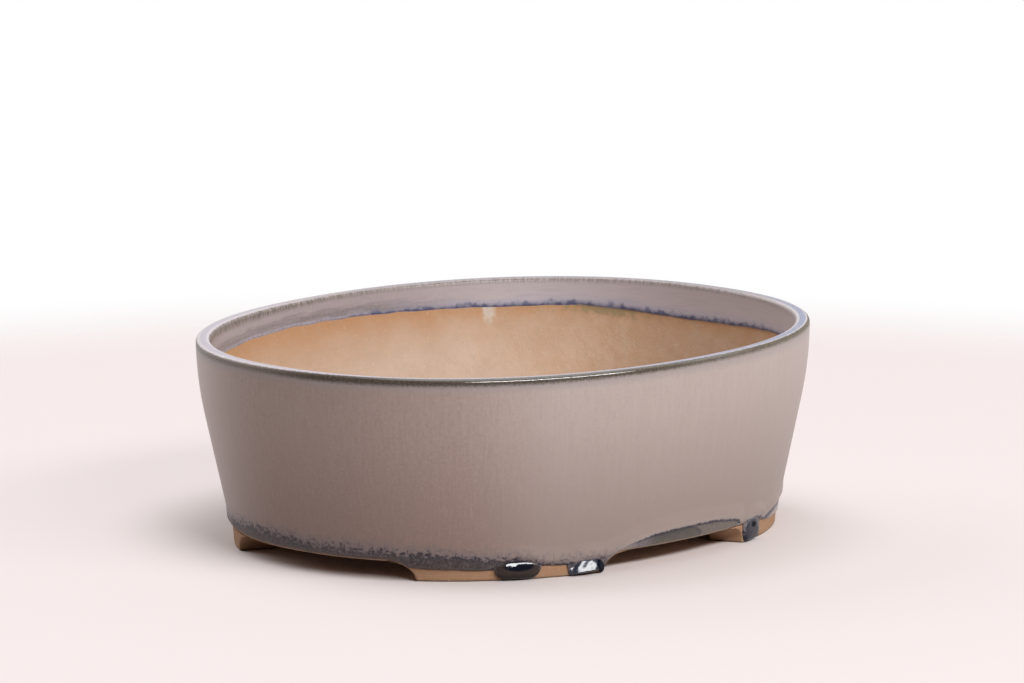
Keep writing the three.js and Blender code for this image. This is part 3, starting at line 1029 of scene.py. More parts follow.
lens_line = np.array([
    (-140, 1.0), (-136, 3.4), (-133.6, 5.2), (-131, 6.9), (-128, 7.4), (-125.6, 6.9), (-123.4, 5.6),
    (-121, 5.2), (-117, 4.9), (-113, 5.4), (-109.5, 5.6), (-107, 6.8), (-103.3, 9.3), (-98, 11.5),
    (-93.2, 12.2), (-87.5, 12.5), (-82.4, 12.2), (-76.5, 10.8), (-75, 10.1), (-73.9, 8.9), (-73.2, 8.0),
    (-70.5, 8.6), (-67.2, 8.9), (-64, 7.8), (-62.4, 6.9), (-60.5, 7.6), (-57.5, 8.6),
    (-53, 9.4), (-50, 9.8), (-47, 10.0), (-41, 9.8), (-36, 8.0), (-30, 3.0),
])
bare_line = 0.3
edge_wave = 0.1

# Drips: the shares of the half width where the lower edge starts to rise and has risen, and how much
# higher the bottom is at the right end than at the left
drip_rise = {
    "glaze_run_middle": (0.5, 1.03, 0.0),
    "glaze_run_end": (0.88, 1.08, 1.1),
    "glaze_run_corner": (0.6, 1.1, 0.0),
}


def cove_line(angle):
    """Height of the clay's lowest edge: the floor's edge, then down the cove of each foot to the ground."""
    corner = np.arctan2(np.abs(np.sin(angle)), np.abs(np.cos(angle)))
    beyond = np.maximum((foot_start - corner) * start_rate, (corner - foot_end) * end_rate)
    return np.where(beyond > 0, foot_height * quarter_round(beyond, cove_run), 0)


def drip_span(node):
    """Middle angle, half the span, lowest and highest level of a drip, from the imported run's box."""
    low, high = corners(node)
    first_y, last_y = (high[1], low[1]) if high[0] < 0 else (low[1], high[1])
    inset = clay_inset((low[2] + high[2]) / 2)
    first = oval_angle(low[0], first_y, inset)
    last = oval_angle(high[0], last_y, inset)
    return (first + last) / 2, (last - first) / 2, low[2], high[2]


def coat_edge(angle):
    """Lower edge of the coat: its listed line with a fine wave, drawn down in the drips to round
    bottoms, and never below the clay and its bare line."""
    line = along_line(edge_line, angle) + edge_wave * wander(angle, 24, 90, seed=5)
    for node, (starts, ends, tilt) in drip_rise.items():
        middle, half, lowest, _ = drip_span(node)
        across = (angle - middle) / half
        aside = np.clip((np.abs(across) - starts) / (ends - starts), 0, 1)
        bottom = np.minimum(lowest + tilt * np.clip(across + 1, 0, 2) / 2, line)
        line = bottom + (line - bottom) * (1 - np.sqrt(1 - aside**2))
    return np.maximum(line, cove_line(angle) + bare_line)


for drip_node in drip_rise:
    drip_middle, drip_half, _, drip_top = drip_span(drip_node)
    span_text = f"{math.degrees(drip_middle):.1f} +- {math.degrees(drip_half):.1f} degrees"
    print(f"{drip_node}: {span_text}, up to {drip_top:.1f} mm")

# %% [markdown]
# ## The glaze coat
# The coat is one skin of glass about half a millimetre thick. Its lower edge is rolled into a bead, it
# runs up the wall, over the lip and a little way down the inside. Over a thin lens the bead lies along
# the lens instead. A Solidify modifier on the wall would give one even thickness and no bead. So the mesh
# is a closed loop of rows: the shining face from the lower edge round to the inside edge, and then the
# hidden face back along the clay. Rows lie close together at the edges, where the form turns quickly.

# %% Rows of the coat
bead_swell = 0.6
bead_crown = 1.75
bead_height = 7.0
bead_start = -0.7
bead_least = 0.9
bead_wave = 0.3
lens_overlap = 0.3
edge_roll = 1.0
inside_roll = 0.8
hidden_depth = 0.04
close_share = 0.018
bead_share = 0.2


def coat_skin(angle, height, edge):
    """Thickness at a height: a quarter round roll at the edge, and above the edge or the lens a bead that
    swells and fades into the even coat, uneven along the way."""
    over = height - np.maximum(edge, along_line(lens_line, angle) - lens_overlap)
    bead = soft_step(over, bead_start, bead_crown) * (1 - soft_step(over, bead_crown, bead_height))
    uneven = bead_least + bead_wave * wander(angle, 10, 40, seed=6)
    return (coat_thickness + bead_swell * uneven * bead) * quarter_round(height - edge, edge_roll)


def outer_rows(edge, share):
    """Heights from the glaze's lower edge up to the lip's spring, at these shares of the way."""
    return edge + (lip_level - edge) * share[:, None]


def coat_rows(angle, edge, inner):
    """Rows of inset and height for every column, shining face first, and the number of rows that shine
    up to the lip's crest and in all."""
    close_rows = close_share * np.linspace(0, 1, 9) ** 1.6
    bead_rows = close_share + (bead_share - close_share) * np.linspace(0, 1, 20)[1:] ** 1.2
    wall_rows = np.linspace(bead_share, 1, 14)[1:-1]
    rising = outer_rows(edge, np.concatenate([close_rows, bead_rows, wall_rows]))
    arch_inset, arch_height = lip_arch(coat_thickness, np.linspace(0, 1, 23))
    falling = lip_level + (inner - lip_level) * (np.linspace(0, 1, 16)[1:, None] ** 0.8)
    inside_skin = coat_thickness * quarter_round(falling - inner, inside_roll)
    back_up = inner + (lip_level - inner) * np.linspace(0, 1, 4)[:-1, None]
    back_inset, back_height = lip_arch(-hidden_depth, np.linspace(1, 0, 7))
    back_down = outer_rows(edge, np.linspace(1, 0, 8)[1:-1])
    one = np.ones(len(angle))
    inset = np.concatenate([
        clay_inset(rising) - coat_skin(angle, rising, edge), arch_inset[:, None] * one,
        inner_inset(falling) + inside_skin, inner_inset(back_up) - hidden_depth,
        back_inset[:, None] * one, clay_inset(back_down) + hidden_depth,
    ])
    height = np.concatenate([
        rising, arch_height[:, None] * one, falling, back_up, back_height[:, None] * one, back_down,
    ])
    shining = len(rising) + len(arch_inset) + len(falling)
    inset[[0, shining - 1]] += hidden_depth * np.array([[1], [-1]])
    return inset, height, len(rising) + len(arch_inset) // 2, shining


print(f"bead stands {bead_swell} mm over the coat")

# %% [markdown]
# ## What the coat's points carry
# The finish needs to know how far each point lies from the lip's crest, from the glaze's edges, from the
# dark band and from the lenses, and on which side of the pot it is. Painted weights could hold that, but
# the distances are known while the points are worked out, so they are written on the points as marks.

# %% Points and marks of the coat
coat_columns = 1060
crowded_from = math.radians(-140)
crowded_to = math.radians(-50)
crowding = 2.2
hidden_far = 30
plateau = 0.4

drip_tip = math.radians(-86.5)
drip_tip_height = 9.0
drip_tip_curve = 0.6
lens_end = math.radians(-73.5)
lens_end_height = 8.7
lens_end_slant = 3.0
lens_end_before = 0.2
lens_end_after = 0.03
blot_half_length = 2.4
blot_half_height = 1.1

# Where the lip's olive edge starts, as angle in degrees and millimetres outwards from the crest
olive_line = np.array([
    (-180, 1.7), (-168, 1.1), (-155, 0.4), (-140, 0.1), (-115, 0.1), (-100, 0.7), (-85, 1.15), (-60, 1.3),
    (-20, 1.5), (60, 1.4), (100, 1.8), (150, 2.1),
])

# Strength of the blue dots along the inside edge, as angle in degrees and share
blue_line = np.array([
    (-170, 0.1), (-90, 0.5), (-30, 0.8), (0, 1), (45, 0.9), (60, 0.7), (76, 0.5), (86, 0.2), (95, 0),
])

# Sides of the pot where the glaze differs, as middle angle and reach in degrees
glaze_sides = {
    "lip_shine": (-122, 52),
    "dark_inside": (110, 65),
    "soft_left": (152, 42),
    "far_rim": (38, 85),
    # The side where the wall's tone gets a painted shade
    "brown_side": (-163, 45),
}


def near_angle(angle, middle, reach):
    """1 round the middle angle and softly 0 beyond the reach, both in degrees."""
    apart = np.degrees(np.arccos(np.cos(angle - math.radians(middle))))
    return 1 - soft_step(apart, plateau * reach, reach)


def lens_marks(angle, height):
    """Depth below the lens line, which a slanting line closes at the lens's end; distance behind the tip
    of the drip in the lens, less a parabola; and a blot at the end, a bell curve."""
    inside = along_line(lens_line, angle) - height
    to_end = (lens_end - angle) * end_rate
    closing = to_end - lens_end_slant * np.clip(lens_end_height - height, 0, None)
    before_end = (angle > lens_end - lens_end_before) & (angle < lens_end + lens_end_after)
    past_end = (to_end / blot_half_length) ** 2 + ((height - lens_end_height) / blot_half_height) ** 2
    return {
        "in_lens": np.where(before_end, np.minimum(inside, closing), inside),
        "in_drip": (drip_tip - angle) * end_rate - drip_tip_curve * (height - drip_tip_height) ** 2,
        "lens_blot": np.exp(-past_end),
    }


def glaze_coat():
    """The coat's points, and its marks. The flow is the rim's own place with the running length from the
    crest for a height, so that a pattern on it hangs down from the lip all round."""
    angle = even_angles(coat_columns, crowded_from, crowded_to, crowding)
    edge, inner = coat_edge(angle), inside_edge(angle)
    inset, height, crest, shining = coat_rows(angle, edge, inner)
    points = oval(angle, inset, height)
    steps = np.hypot(np.diff(inset, axis=0), np.diff(height, axis=0))
    length = np.concatenate([0 * angle[None], np.cumsum(steps, axis=0)])
    from_crest = length[crest] - length
    from_crest[shining:] = np.where(height[shining:] < lip_level, hidden_far, 0)
    flow = np.broadcast_to(oval(angle, 0.0, pot_height), points.shape).copy()
    flow[..., 2] = from_crest
    marks = {
        "flow": flow,
        "from_crest": from_crest,
        "above_edge": np.where(from_crest > 0, height - edge, height - inner),
        "in_band": along_line(band_line, angle) - height,
        **lens_marks(angle, height),
    }
    by_angle = {name: near_angle(angle, *side) for name, side in glaze_sides.items()}
    by_angle["lens_side"] = np.degrees(angle)
    by_angle["olive_start"] = along_line(olive_line, angle)
    by_angle["blue"] = along_line(blue_line, angle)
    marks.update({name: values + 0 * height for name, values in by_angle.items()})
    return points, marks


coat_points, coat_marks = glaze_coat()
print("coat grid", coat_points.shape, "with marks", *coat_marks)

# %% [markdown]
# ## Clouds on the flow
# The coat is a satin mushroom grey-brown that ran a little as it melted, so its patterns hang down from
# the lip. Noise on Object coordinates would cut through the wall instead of following it. Here the noise
# lies on the flow that the points carry, in millimetres, and is squeezed along the rim into streaks, or
# less so into blotches and grains. The next five steps colour the coat with it, part by part.

# %% Marks and clouds of the glaze
# For each cloud, how much it is squeezed along the rim and down the flow, its detail and its roughness
flow_clouds = {
    "streak": ((0.55, 0.55, 0.02), 4, 0.6),
    "hatch": ((1.1, 1.1, 0.13), 3, 0.6),
    "fringe": ((1.6, 1.6, 0.3), 3, 0.6),
    "blotch": ((0.42, 0.42, 0.75), 3, 0.6),
    "mottle": ((0.9, 0.9, 1.0), 4, 0.65),
    "brushed": ((0.07, 0.07, 1.0), 3, 0.6),
    "drop": ((0.34, 0.34, 0.42), 1, 0.4),
    "speck": ((2.2, 2.2, 2.4), 2, 0.5),
}


def glaze_marks(tree):
    """The coat's marks and the clouds on its flow, each under its own name."""
    flow = mark(tree, "flow", "Vector")
    marks = {name: mark(tree, name) for name in coat_marks if name != "flow"}
    for name, (squeeze, detail, roughness) in flow_clouds.items():
        marks[name] = cloud(tree, stretch(tree, flow, squeeze), 1, detail, roughness)
    return SimpleNamespace(**marks)


print("clouds on the flow:", *flow_clouds)

# %% [markdown]
# ## The tone of the wall
# On the wall the glaze is an even taupe with faint streaks and a woven grain. A painted shade makes it
# browner at its shaded end and darker down the wall. Two materials would show a seam between them. Instead
# each tone is blended over the last one by a mask, made from a distance on the points or from a cloud on
# the flow.

# %% Wall tone
taupe_light = (0.405, 0.330, 0.306)
taupe_dark = (0.379, 0.305, 0.280)
# Painted shade: the browner tone at the shaded end of the wall
taupe_shade = (0.305, 0.219, 0.190)
# Painted shade: the darker tones low on the wall, the second one at the shaded end
taupe_low_shade = (0.258, 0.198, 0.177)
umber_low_shade = (0.216, 0.144, 0.122)
ochre_speck = (0.26, 0.16, 0.08)
grain_brown = (0.190, 0.128, 0.104)
grain_pale = (0.520, 0.450, 0.430)


def wall_tone(tree, glaze):
    """Two close taupes mixed by streaks, a hatch and a mottle; a painted shade, browner at the shaded end
    and darker and browner down the wall; a woven grain, dark and pale; and a few ochre specks."""
    grain = mixture(tree, (glaze.streak, 0.45), (glaze.hatch, 0.35), (glaze.mottle, 0.2))
    colour = blend(tree, fade(tree, grain, cloud_low, cloud_high), taupe_dark, taupe_light)
    # Painted shade: browner towards the shaded end
    colour = blend(tree, masked(tree, glaze.brown_side, 0.75), colour, taupe_shade)
    low = blend(tree, glaze.brown_side, taupe_low_shade, umber_low_shade)
    # Painted shade: darker down the wall
    colour = blend(tree, fade(tree, glaze.from_crest, 6, 70), colour, low)
    woven = mixture(tree, (glaze.hatch, 0.35), (glaze.mottle, 0.65))
    strength = fade(tree, glaze.brown_side, 0, 1, 0.35, 1)
    colour = blend(tree, masked(tree, fade(tree, woven, 0.52, 0.37), strength, 0.24), colour, grain_brown)
    colour = blend(tree, masked(tree, fade(tree, woven, 0.50, 0.64), strength, 0.08), colour, grain_pale)
    return blend(tree, fade(tree, glaze.speck, 0.77, 0.82, 0, 0.6), colour, ochre_speck)


print("wall tone")

# %% [markdown]
# ## The lip
# On the lip the glaze thins over the edges and breaks dark olive, and lies thick and pale on top, with a
# painted highlight that whitens the top's edges. The shader's Pointiness could find the edges, but it
# depends on how fine the mesh is. The distance from the crest, which the points carry, says where the edges
# are, and a cloud frays it.

# %% Lip tones
lip_olive = (0.096, 0.076, 0.055)
lip_ochre = (0.125, 0.098, 0.050)
lip_soot = (0.040, 0.032, 0.027)
# Pale glaze with a painted highlight, on the edges of the lip's top
lip_pale_and_highlight = (0.590, 0.525, 0.560)
lip_lavender = (0.430, 0.382, 0.445)
lip_blue = (0.175, 0.205, 0.335)
lip_grey = (0.280, 0.246, 0.238)


def lip_tones(tree, colour, glaze):
    """Thin glaze breaking olive and sooty along the lip's edges, a grey fade below, and thick pale glaze on
    top, white along its edges with a painted highlight and lavender or blue along its middle. Where the lip
    is thin the olive begins at the crest, and on the far rim it takes the top too. Gives the colour, a mask
    of the olive edge and one of the top."""
    ragged = roughened(tree, glaze.from_crest, glaze.mottle, 0.2)
    full = calculate(tree, "ADD", glaze.olive_start, 0.5)
    ends = fade(tree, glaze.blue, 0.2, 0.7, 5.4, 4.5)
    thins = calculate(tree, "SUBTRACT", ends, 1.9)
    strong = fade(tree, glaze.blue, 0.2, 0.8, 0.75, 0.55)
    greyed = masked(tree, between(tree, ragged, 2.6, 4.0, 4.4, 8.0), strong)
    colour = blend(tree, greyed, colour, lip_grey)
    broken = blend(tree, fade(tree, glaze.blue, 0.3, 0.7), lip_olive, lip_ochre)
    dark = blend(tree, fade(tree, glaze.speck, 0.40, 0.62), broken, lip_soot)
    olive = between(tree, ragged, glaze.olive_start, full, thins, ends)
    olive = masked(tree, olive, fade(tree, glaze.soft_left, 0, 1, 0.95, 0.55))
    colour = blend(tree, olive, colour, dark)
    past_start = calculate(tree, "SUBTRACT", ragged, fade(tree, glaze.far_rim, 0, 1, -1.9, -0.6))
    past_end = calculate(tree, "SUBTRACT", ragged, fade(tree, glaze.far_rim, 0, 1, -6.4, -4.4))
    inner = masked(tree, fade(tree, past_start, 0, -0.5), fade(tree, past_end, 0, 2.4))
    streaked = fade(tree, glaze.fringe, 0.62, 0.40, 0.35, 1)
    at_left = masked(tree, glaze.dark_inside, 0.9)
    shown = calculate(tree, "MAXIMUM", at_left, masked(tree, glaze.far_rim, 0.75))
    colour = blend(tree, masked(tree, inner, streaked, shown), colour, lip_olive)
    on_top = between(tree, ragged, -2.4, -1.8, glaze.olive_start, full)
    on_top = masked(tree, on_top, fade(tree, glaze.far_rim, 0, 1, 0.92, 0.4))
    middle = fade(tree, calculate(tree, "ABSOLUTE", glaze.from_crest), 1.4, 0.9)
    middle = masked(tree, middle, fade(tree, glaze.blotch, 0.3, 0.6, 0.75, 1))
    cool = blend(tree, fade(tree, glaze.blue, 0.2, 0.7), lip_lavender, lip_blue)
    # Painted highlight: the top's edges are pale white, its middle lavender or blue
    pale = blend(tree, middle, lip_pale_and_highlight, cool)
    return blend(tree, on_top, colour, pale), olive, on_top


print("lip tones")

# %% [markdown]
# ## The pooled band
# Above its lower edge the glaze pooled thick and dark, with a fringe of fine streaks at the top, blotches
# and pale grains, and by the front foot a dark thread along it. A colour ramp over the height would make a
# clean stripe. The height of the band's top is a listed line, and three clouds of different size fray it,
# one after the other.

# %% Pooled band
band_slate = (0.106, 0.085, 0.086)
band_dark = (0.057, 0.047, 0.054)
band_black = (0.022, 0.020, 0.029)
band_brown = (0.106, 0.084, 0.075)
band_umber = (0.048, 0.038, 0.036)
band_pale = (0.172, 0.143, 0.143)
fringe_grey = (0.148, 0.120, 0.122)


def band_tones(tree, colour, glaze):
    """A fringe of streaks over the wall's tone; below it slate with blotches and pale grains, a row of near
    black blotches along its top, near the front foot a deep umber and a black thread, and browner
    where it thins at the edge. Gives the colour and a mask of the pool."""
    shaggy = roughened(tree, glaze.in_band, glaze.blotch, 1.4)
    streaky = roughened(tree, shaggy, glaze.fringe, 1.3)
    colour = blend(tree, fade(tree, streaky, -5.0, 0.6, 0, 0.8), colour, fringe_grey)
    grainy = roughened(tree, shaggy, glaze.mottle, 0.9)
    pooled = fade(tree, grainy, -1.8, 1.8)
    slate = blend(tree, fade(tree, glaze.mottle, 0.42, 0.60), band_slate, band_dark)
    slate = blend(tree, fade(tree, glaze.speck, 0.50, 0.66, 0, 0.55), slate, band_pale)
    top_row = between(tree, grainy, 0.2, 1.4, 1.8, 4.2)
    top_row = masked(tree, top_row, fade(tree, glaze.blotch, 0.44, 0.64), 0.48)
    slate = blend(tree, top_row, slate, band_black)
    near_foot = between(tree, glaze.lens_side, -166, -150, -127, -120)
    patchy = fade(tree, glaze.mottle, 0.38, 0.58, 0.4, 0.9)
    deep = masked(tree, near_foot, fade(tree, grainy, 0.8, 2.6), patchy)
    slate = blend(tree, deep, slate, band_umber)
    wavy = roughened(tree, shaggy, glaze.mottle, 0.45)
    thread = masked(tree, between(tree, wavy, -0.4, 0.4, 1.0, 2.0), near_foot)
    thread = masked(tree, thread, fade(tree, glaze.blotch, 0.32, 0.50, 0.35, 0.85))
    slate = blend(tree, thread, slate, band_black)
    sunk = roughened(tree, glaze.above_edge, glaze.mottle, 0.5)
    slate = blend(tree, fade(tree, sunk, 1.8, 0.7, 0, 0.7), slate, band_brown)
    return blend(tree, pooled, colour, slate), pooled


print("band tones")

# %% [markdown]
# ## The lenses
# Where the melted coat drew back, a thin shiny lens of glaze shows, with a dark dotted line along its top,
# partly a painted shade under the bead's roll. One lies beside the front foot, with a drip of a darker tone
# in it, and one on the right foot. Over the lenses right of the front runs a pale halo is a painted
# highlight on the bead. The lenses could be pieces of their own, but glass this thin has no edge to model.
# So a lens is a mask of the depth below its line, and what differs along it is told apart by the angle.

# %% Lenses
lens_lavender = (0.170, 0.146, 0.157)
lens_olive = (0.072, 0.065, 0.059)
lens_sage = (0.098, 0.086, 0.073)
lens_pale = (0.150, 0.124, 0.110)
lens_dark = (0.060, 0.052, 0.060)
# The dark line along a lens's top, partly painted shade under the bead, and the blot's colour
lens_edge_and_shade = (0.030, 0.029, 0.043)
# Painted highlight: the pale halo on the bead above a lens
lens_halo_highlight = (0.400, 0.340, 0.318)
lens_foot = (0.300, 0.255, 0.242)
edge_ochre = (0.280, 0.222, 0.160)


def lens_fill(tree, glaze):
    """Tone inside a lens: lavender and dark blotches at the left, olive to sage down the drip with a line
    round its tip, pale at the right, paler on the right foot, and ochre along the lower edge."""
    side = glaze.lens_side
    wavy = roughened(tree, glaze.in_drip, glaze.blotch, 0.5)
    pale = blend(tree, fade(tree, side, -68, -62), lens_pale, lens_foot)
    pale = blend(tree, fade(tree, glaze.mottle, 0.40, 0.65, 0, 0.45), pale, lens_olive)
    deep = roughened(tree, glaze.in_lens, glaze.blotch, 1.2)
    drip = blend(tree, fade(tree, deep, 0.4, 4.5), lens_olive, lens_sage)
    drip = blend(tree, fade(tree, glaze.mottle, 0.45, 0.70, 0, 0.4), drip, lens_dark)
    tone = blend(tree, fade(tree, wavy, -0.4, 0.5), pale, drip)
    at_left = fade(tree, side, -96, -101)
    tone = blend(tree, masked(tree, at_left, fade(tree, glaze.mottle, 0.36, 0.50)), tone, lens_lavender)
    blots = masked(tree, at_left, fade(tree, glaze.blotch, 0.46, 0.60), 0.8)
    tone = blend(tree, blots, tone, lens_dark)
    tip = masked(tree, between(tree, wavy, -0.9, -0.1, 0.2, 1.1), fade(tree, side, -96, -90, 0, 0.8))
    tone = blend(tree, tip, tone, lens_dark)
    tone = blend(tree, fade(tree, glaze.speck, 0.60, 0.75, 0, 0.3), tone, lens_lavender)
    return blend(tree, fade(tree, glaze.above_edge, 0.75, 0.3, 0, 0.7), tone, edge_ochre)


def lens_tones(tree, colour, glaze):
    """A pale halo, a painted highlight on the bead, over the lenses right of the front runs; the fill; a
    dark upper edge, partly painted shade under the bead, that is dotted beside the front foot and thick on
    the right foot; and a blot at the lens's end. Gives colour and mask."""
    side = glaze.lens_side
    frayed = roughened(tree, glaze.in_lens, glaze.mottle, 0.24)
    inside = fade(tree, frayed, -0.15, 0.35)
    # Painted highlight: a pale halo on the bead above the lenses right of the front runs
    halo_highlight = masked(tree, fade(tree, frayed, -2.6, -0.3, 0, 0.4), fade(tree, side, -110, -104))
    colour = blend(tree, halo_highlight, colour, lens_halo_highlight)
    filled = masked(tree, inside, fade(tree, side, -106, -100, 0.2, 1))
    colour = blend(tree, filled, colour, lens_fill(tree, glaze))
    before = fade(tree, side, -110, -107, 0.85, 0)
    shown = calculate(tree, "MAXIMUM", before, fade(tree, side, -104, -97, 0.1, 1))
    on_foot = fade(tree, side, -66, -60)
    dotted = calculate(tree, "MAXIMUM", fade(tree, glaze.mottle, 0.40, 0.50, 0.25, 1), on_foot)
    ends = fade(tree, on_foot, 0, 1, 1.4, 3.2)
    thins = fade(tree, on_foot, 0, 1, 0.45, 1.5)
    # Partly painted shade: the dark line under the bead along the lens's top
    rim_line_and_shade = masked(tree, between(tree, frayed, -0.35, 0.05, thins, ends), dotted, shown)
    colour = blend(tree, rim_line_and_shade, colour, lens_edge_and_shade)
    return blend(tree, masked(tree, glaze.lens_blot, inside, 0.45), colour, lens_edge_and_shade), inside


print("lens tones")

# %% [markdown]
# ## Inside of the rim
# Inside the rim the glaze is mauve, smoky in streaks that run along the rim, and turns lavender and blue
# where it ends: a navy line that swells into dots. The dots could be scattered spheres, but they lie flat
# in the glass. A cloud with one blob for every few millimetres pushes the line's edge up where a dot is.

# %% Inside of the rim
inside_mauve = (0.412, 0.348, 0.350)
inside_soot = (0.175, 0.146, 0.148)
inside_pale = (0.470, 0.412, 0.430)
inside_lavender = (0.375, 0.350, 0.420)
navy = (0.068, 0.078, 0.152)


def inside_tones(tree, colour, glaze):
    """Mauve below the lip with smoky streaks along the rim, at the left a sooty band and a lavender line; a
    lavender tint towards the edge; and along it, where the blue is strong, the navy line with its dots."""
    within = fade(tree, glaze.from_crest, -1.5, -3.5)
    tone = blend(tree, fade(tree, glaze.mottle, 0.3, 0.7, 0, 0.3), inside_mauve, inside_pale)
    tone = blend(tree, fade(tree, glaze.blue, 0.5, 1.0, 0, 0.9), tone, inside_pale)
    smoky = fade(tree, glaze.brushed, 0.54, 0.34)
    smoky = masked(tree, smoky, fade(tree, glaze.mottle, 0.3, 0.6, 0.5, 1), 0.12)
    tone = blend(tree, smoky, tone, inside_soot)
    low = roughened(tree, glaze.above_edge, glaze.brushed, 0.9)
    tinted = masked(tree, fade(tree, low, 5.0, 1.0), fade(tree, glaze.blue, 0, 0.5, 0.1, 0.85))
    tone = blend(tree, tinted, tone, inside_lavender)
    grainy = fade(tree, glaze.mottle, 0.35, 0.65, 1, 0.8)
    grainy = masked(tree, grainy, fade(tree, glaze.brushed, 0.35, 0.6, 0.75, 1))
    soot = masked(tree, fade(tree, low, 5.0, 3.4, 0.5, 1.0), glaze.dark_inside, grainy)
    tone = blend(tree, soot, tone, inside_soot)
    broken = fade(tree, glaze.mottle, 0.36, 0.60, 0.3, 0.75)
    line = masked(tree, fade(tree, glaze.above_edge, 1.9, 0.7), glaze.dark_inside, broken)
    tone = blend(tree, line, tone, inside_lavender)
    dots = calculate(tree, "ADD", glaze.above_edge, fade(tree, glaze.mottle, 0.34, 0.66, 0.18, -0.18))
    dots = calculate(tree, "ADD", dots, fade(tree, glaze.drop, 0.50, 0.72, 0, -0.8))
    reach = fade(tree, glaze.blue, 0, 1, -0.1, 1.2)
    under_line = fade(tree, calculate(tree, "SUBTRACT", dots, reach), 1.3, -0.9)
    uneven = fade(tree, glaze.drop, 0.3, 0.6, 0.6, 0.95)
    blue = masked(tree, under_line, fade(tree, glaze.blue, 0, 0.4), uneven)
    return blend(tree, within, colour, blend(tree, blue, tone, navy))


print("inside tones")

# %% [markdown]
# ## The glaze's finish
# All parts of the coat are one glass, so they share one shader: satin on the wall, wet where the lip is
# thin, smooth but dim in the pools and lenses. A clear coat on top would make the whole pot shine alike.
# Instead the masks of the last steps also set the roughness and how strongly the surface mirrors.

# %% Glaze finish
satin_roughness = (0.40, 0.48)
top_roughness = 0.32
lens_roughness = 0.25
edge_roughness = (0.42, 0.1)
satin_gloss = (0.5, 0.38)
pool_gloss = 0.14
edge_gloss = (0.12, 1.0)
ripple_depth = 0.00002
speck_depth = 0.00003


def satin_glaze():
    """The tones laid over each other from the wall to the darkest pools; the roughness and the gloss of the
    satin wall, replaced in turn on the lip's top, in the lenses or pools, and on the lip's edge."""
    finish, tree, shader = new_finish("satin_glaze")
    glaze = glaze_marks(tree)
    colour = inside_tones(tree, wall_tone(tree, glaze), glaze)
    colour, lip_edge, lip_top = lip_tones(tree, colour, glaze)
    colour, pooled = band_tones(tree, colour, glaze)
    colour, in_lens = lens_tones(tree, colour, glaze)
    feed(tree, shader.inputs["Base Color"], colour)
    roughness = fade(tree, glaze.mottle, cloud_low, cloud_high, *satin_roughness)
    roughness = fade(tree, lip_top, 0, 1, roughness, top_roughness)
    roughness = fade(tree, in_lens, 0, 1, roughness, lens_roughness)
    polish = fade(tree, glaze.lip_shine, 0, 1, *edge_roughness)
    feed(tree, shader.inputs["Roughness"], fade(tree, lip_edge, 0, 1, roughness, polish))
    dull = calculate(tree, "MAXIMUM", pooled, in_lens)
    dull = calculate(tree, "MAXIMUM", masked(tree, lip_top, 0.6), dull)
    gloss = fade(tree, glaze.soft_left, 0, 1, *satin_gloss)
    gloss = fade(tree, dull, 0, 1, gloss, pool_gloss)
    shine = fade(tree, glaze.lip_shine, 0, 1, *edge_gloss)
    feed(tree, shader.inputs["Specular IOR Level"], fade(tree, lip_edge, 0, 1, gloss, shine))
    ripple = raised(tree, glaze.streak, ripple_depth)
    feed(tree, shader.inputs["Normal"], raised(tree, glaze.speck, speck_depth, ripple))
    return finish


coat_faces = ring_faces(*coat_points.shape[:2])
make_piece("glaze_skin", coat_points, [coat_faces], satin_glaze(), ["glaze_coat"], coat_marks)

# %% [markdown]
# ## The wet black glaze
# In the runs the glaze is so thick that it looks black and wet, slate or brown at its thin parts, with a
# grey speckled border. A glass shader would follow the light down to the clay, which is slow and shows
# nothing through glaze this dark. A dark glossy shader looks the same. The black eye, the border and the
# brown come from marks that each run carries.

# %% Run finish
run_black = (0.005, 0.006, 0.011)
run_brown = (0.041, 0.029, 0.025)
run_umber = (0.018, 0.012, 0.010)
run_slate = (0.030, 0.034, 0.052)
run_border = (0.150, 0.142, 0.172)
run_mottles = 900
run_ripples = 450
run_ripple_depth = 0.00005
run_roughness = (0.17, 0.05)
unlit_gloss = 0.02


def wet_black_glaze():
    """Slate or brown glaze that darkens downwards, black in the eye, with a grey speckled border. It is wet
    and glossy, less so down a brown run's skirt and in the eye of a run that isn't brown."""
    finish, tree, shader = new_finish("wet_black_glaze")
    place = own_place(tree)
    eye, lower, warmth = mark(tree, "eye"), mark(tree, "lower"), mark(tree, "warmth")
    mottle = cloud(tree, place, run_mottles, 3)
    brown = blend(tree, fade(tree, lower, 0.45, 0.95), run_brown, run_umber)
    colour = blend(tree, warmth, run_slate, brown)
    edge = masked(tree, fade(tree, mark(tree, "border"), 0.35, 0.9), fade(tree, mottle, 0.38, 0.58), 0.8)
    colour = blend(tree, edge, colour, run_border)
    colour = blend(tree, eye, colour, run_black)
    feed(tree, shader.inputs["Base Color"], colour)
    feed(tree, shader.inputs["Roughness"], fade(tree, eye, 0, 1, *run_roughness))
    skirt = masked(tree, warmth, fade(tree, lower, 0.25, 0.5))
    unlit = masked(tree, eye, fade(tree, warmth, 0.4, 0.8, 1, 0))
    gloss = masked(tree, mark(tree, "shine"), fade(tree, skirt, 0, 1, 1, 0.4))
    feed(tree, shader.inputs["Specular IOR Level"], fade(tree, unlit, 0, 1, gloss, unlit_gloss))
    feed(tree, shader.inputs["Normal"], raised(tree, cloud(tree, place, run_ripples, 2), run_ripple_depth))
    return finish


run_finish = wet_black_glaze()
print("finish:", run_finish.name)

# %% [markdown]
# ## The runs of glaze
# Three drips reached the feet, thick and wet. Each could be modelled from a squashed ball, but a ball
# would not end where the coat's drip ends. So a run is a patch from the drip's edge up to an arch, and its
# thickness is the coat's with a swelling on top. High up the swelling breaks off, round like the shoulder
# of a drop or straight like a wedge, and there it mirrors the lamp. The patch is closed by its hidden back,
# and its two ends run out to points.

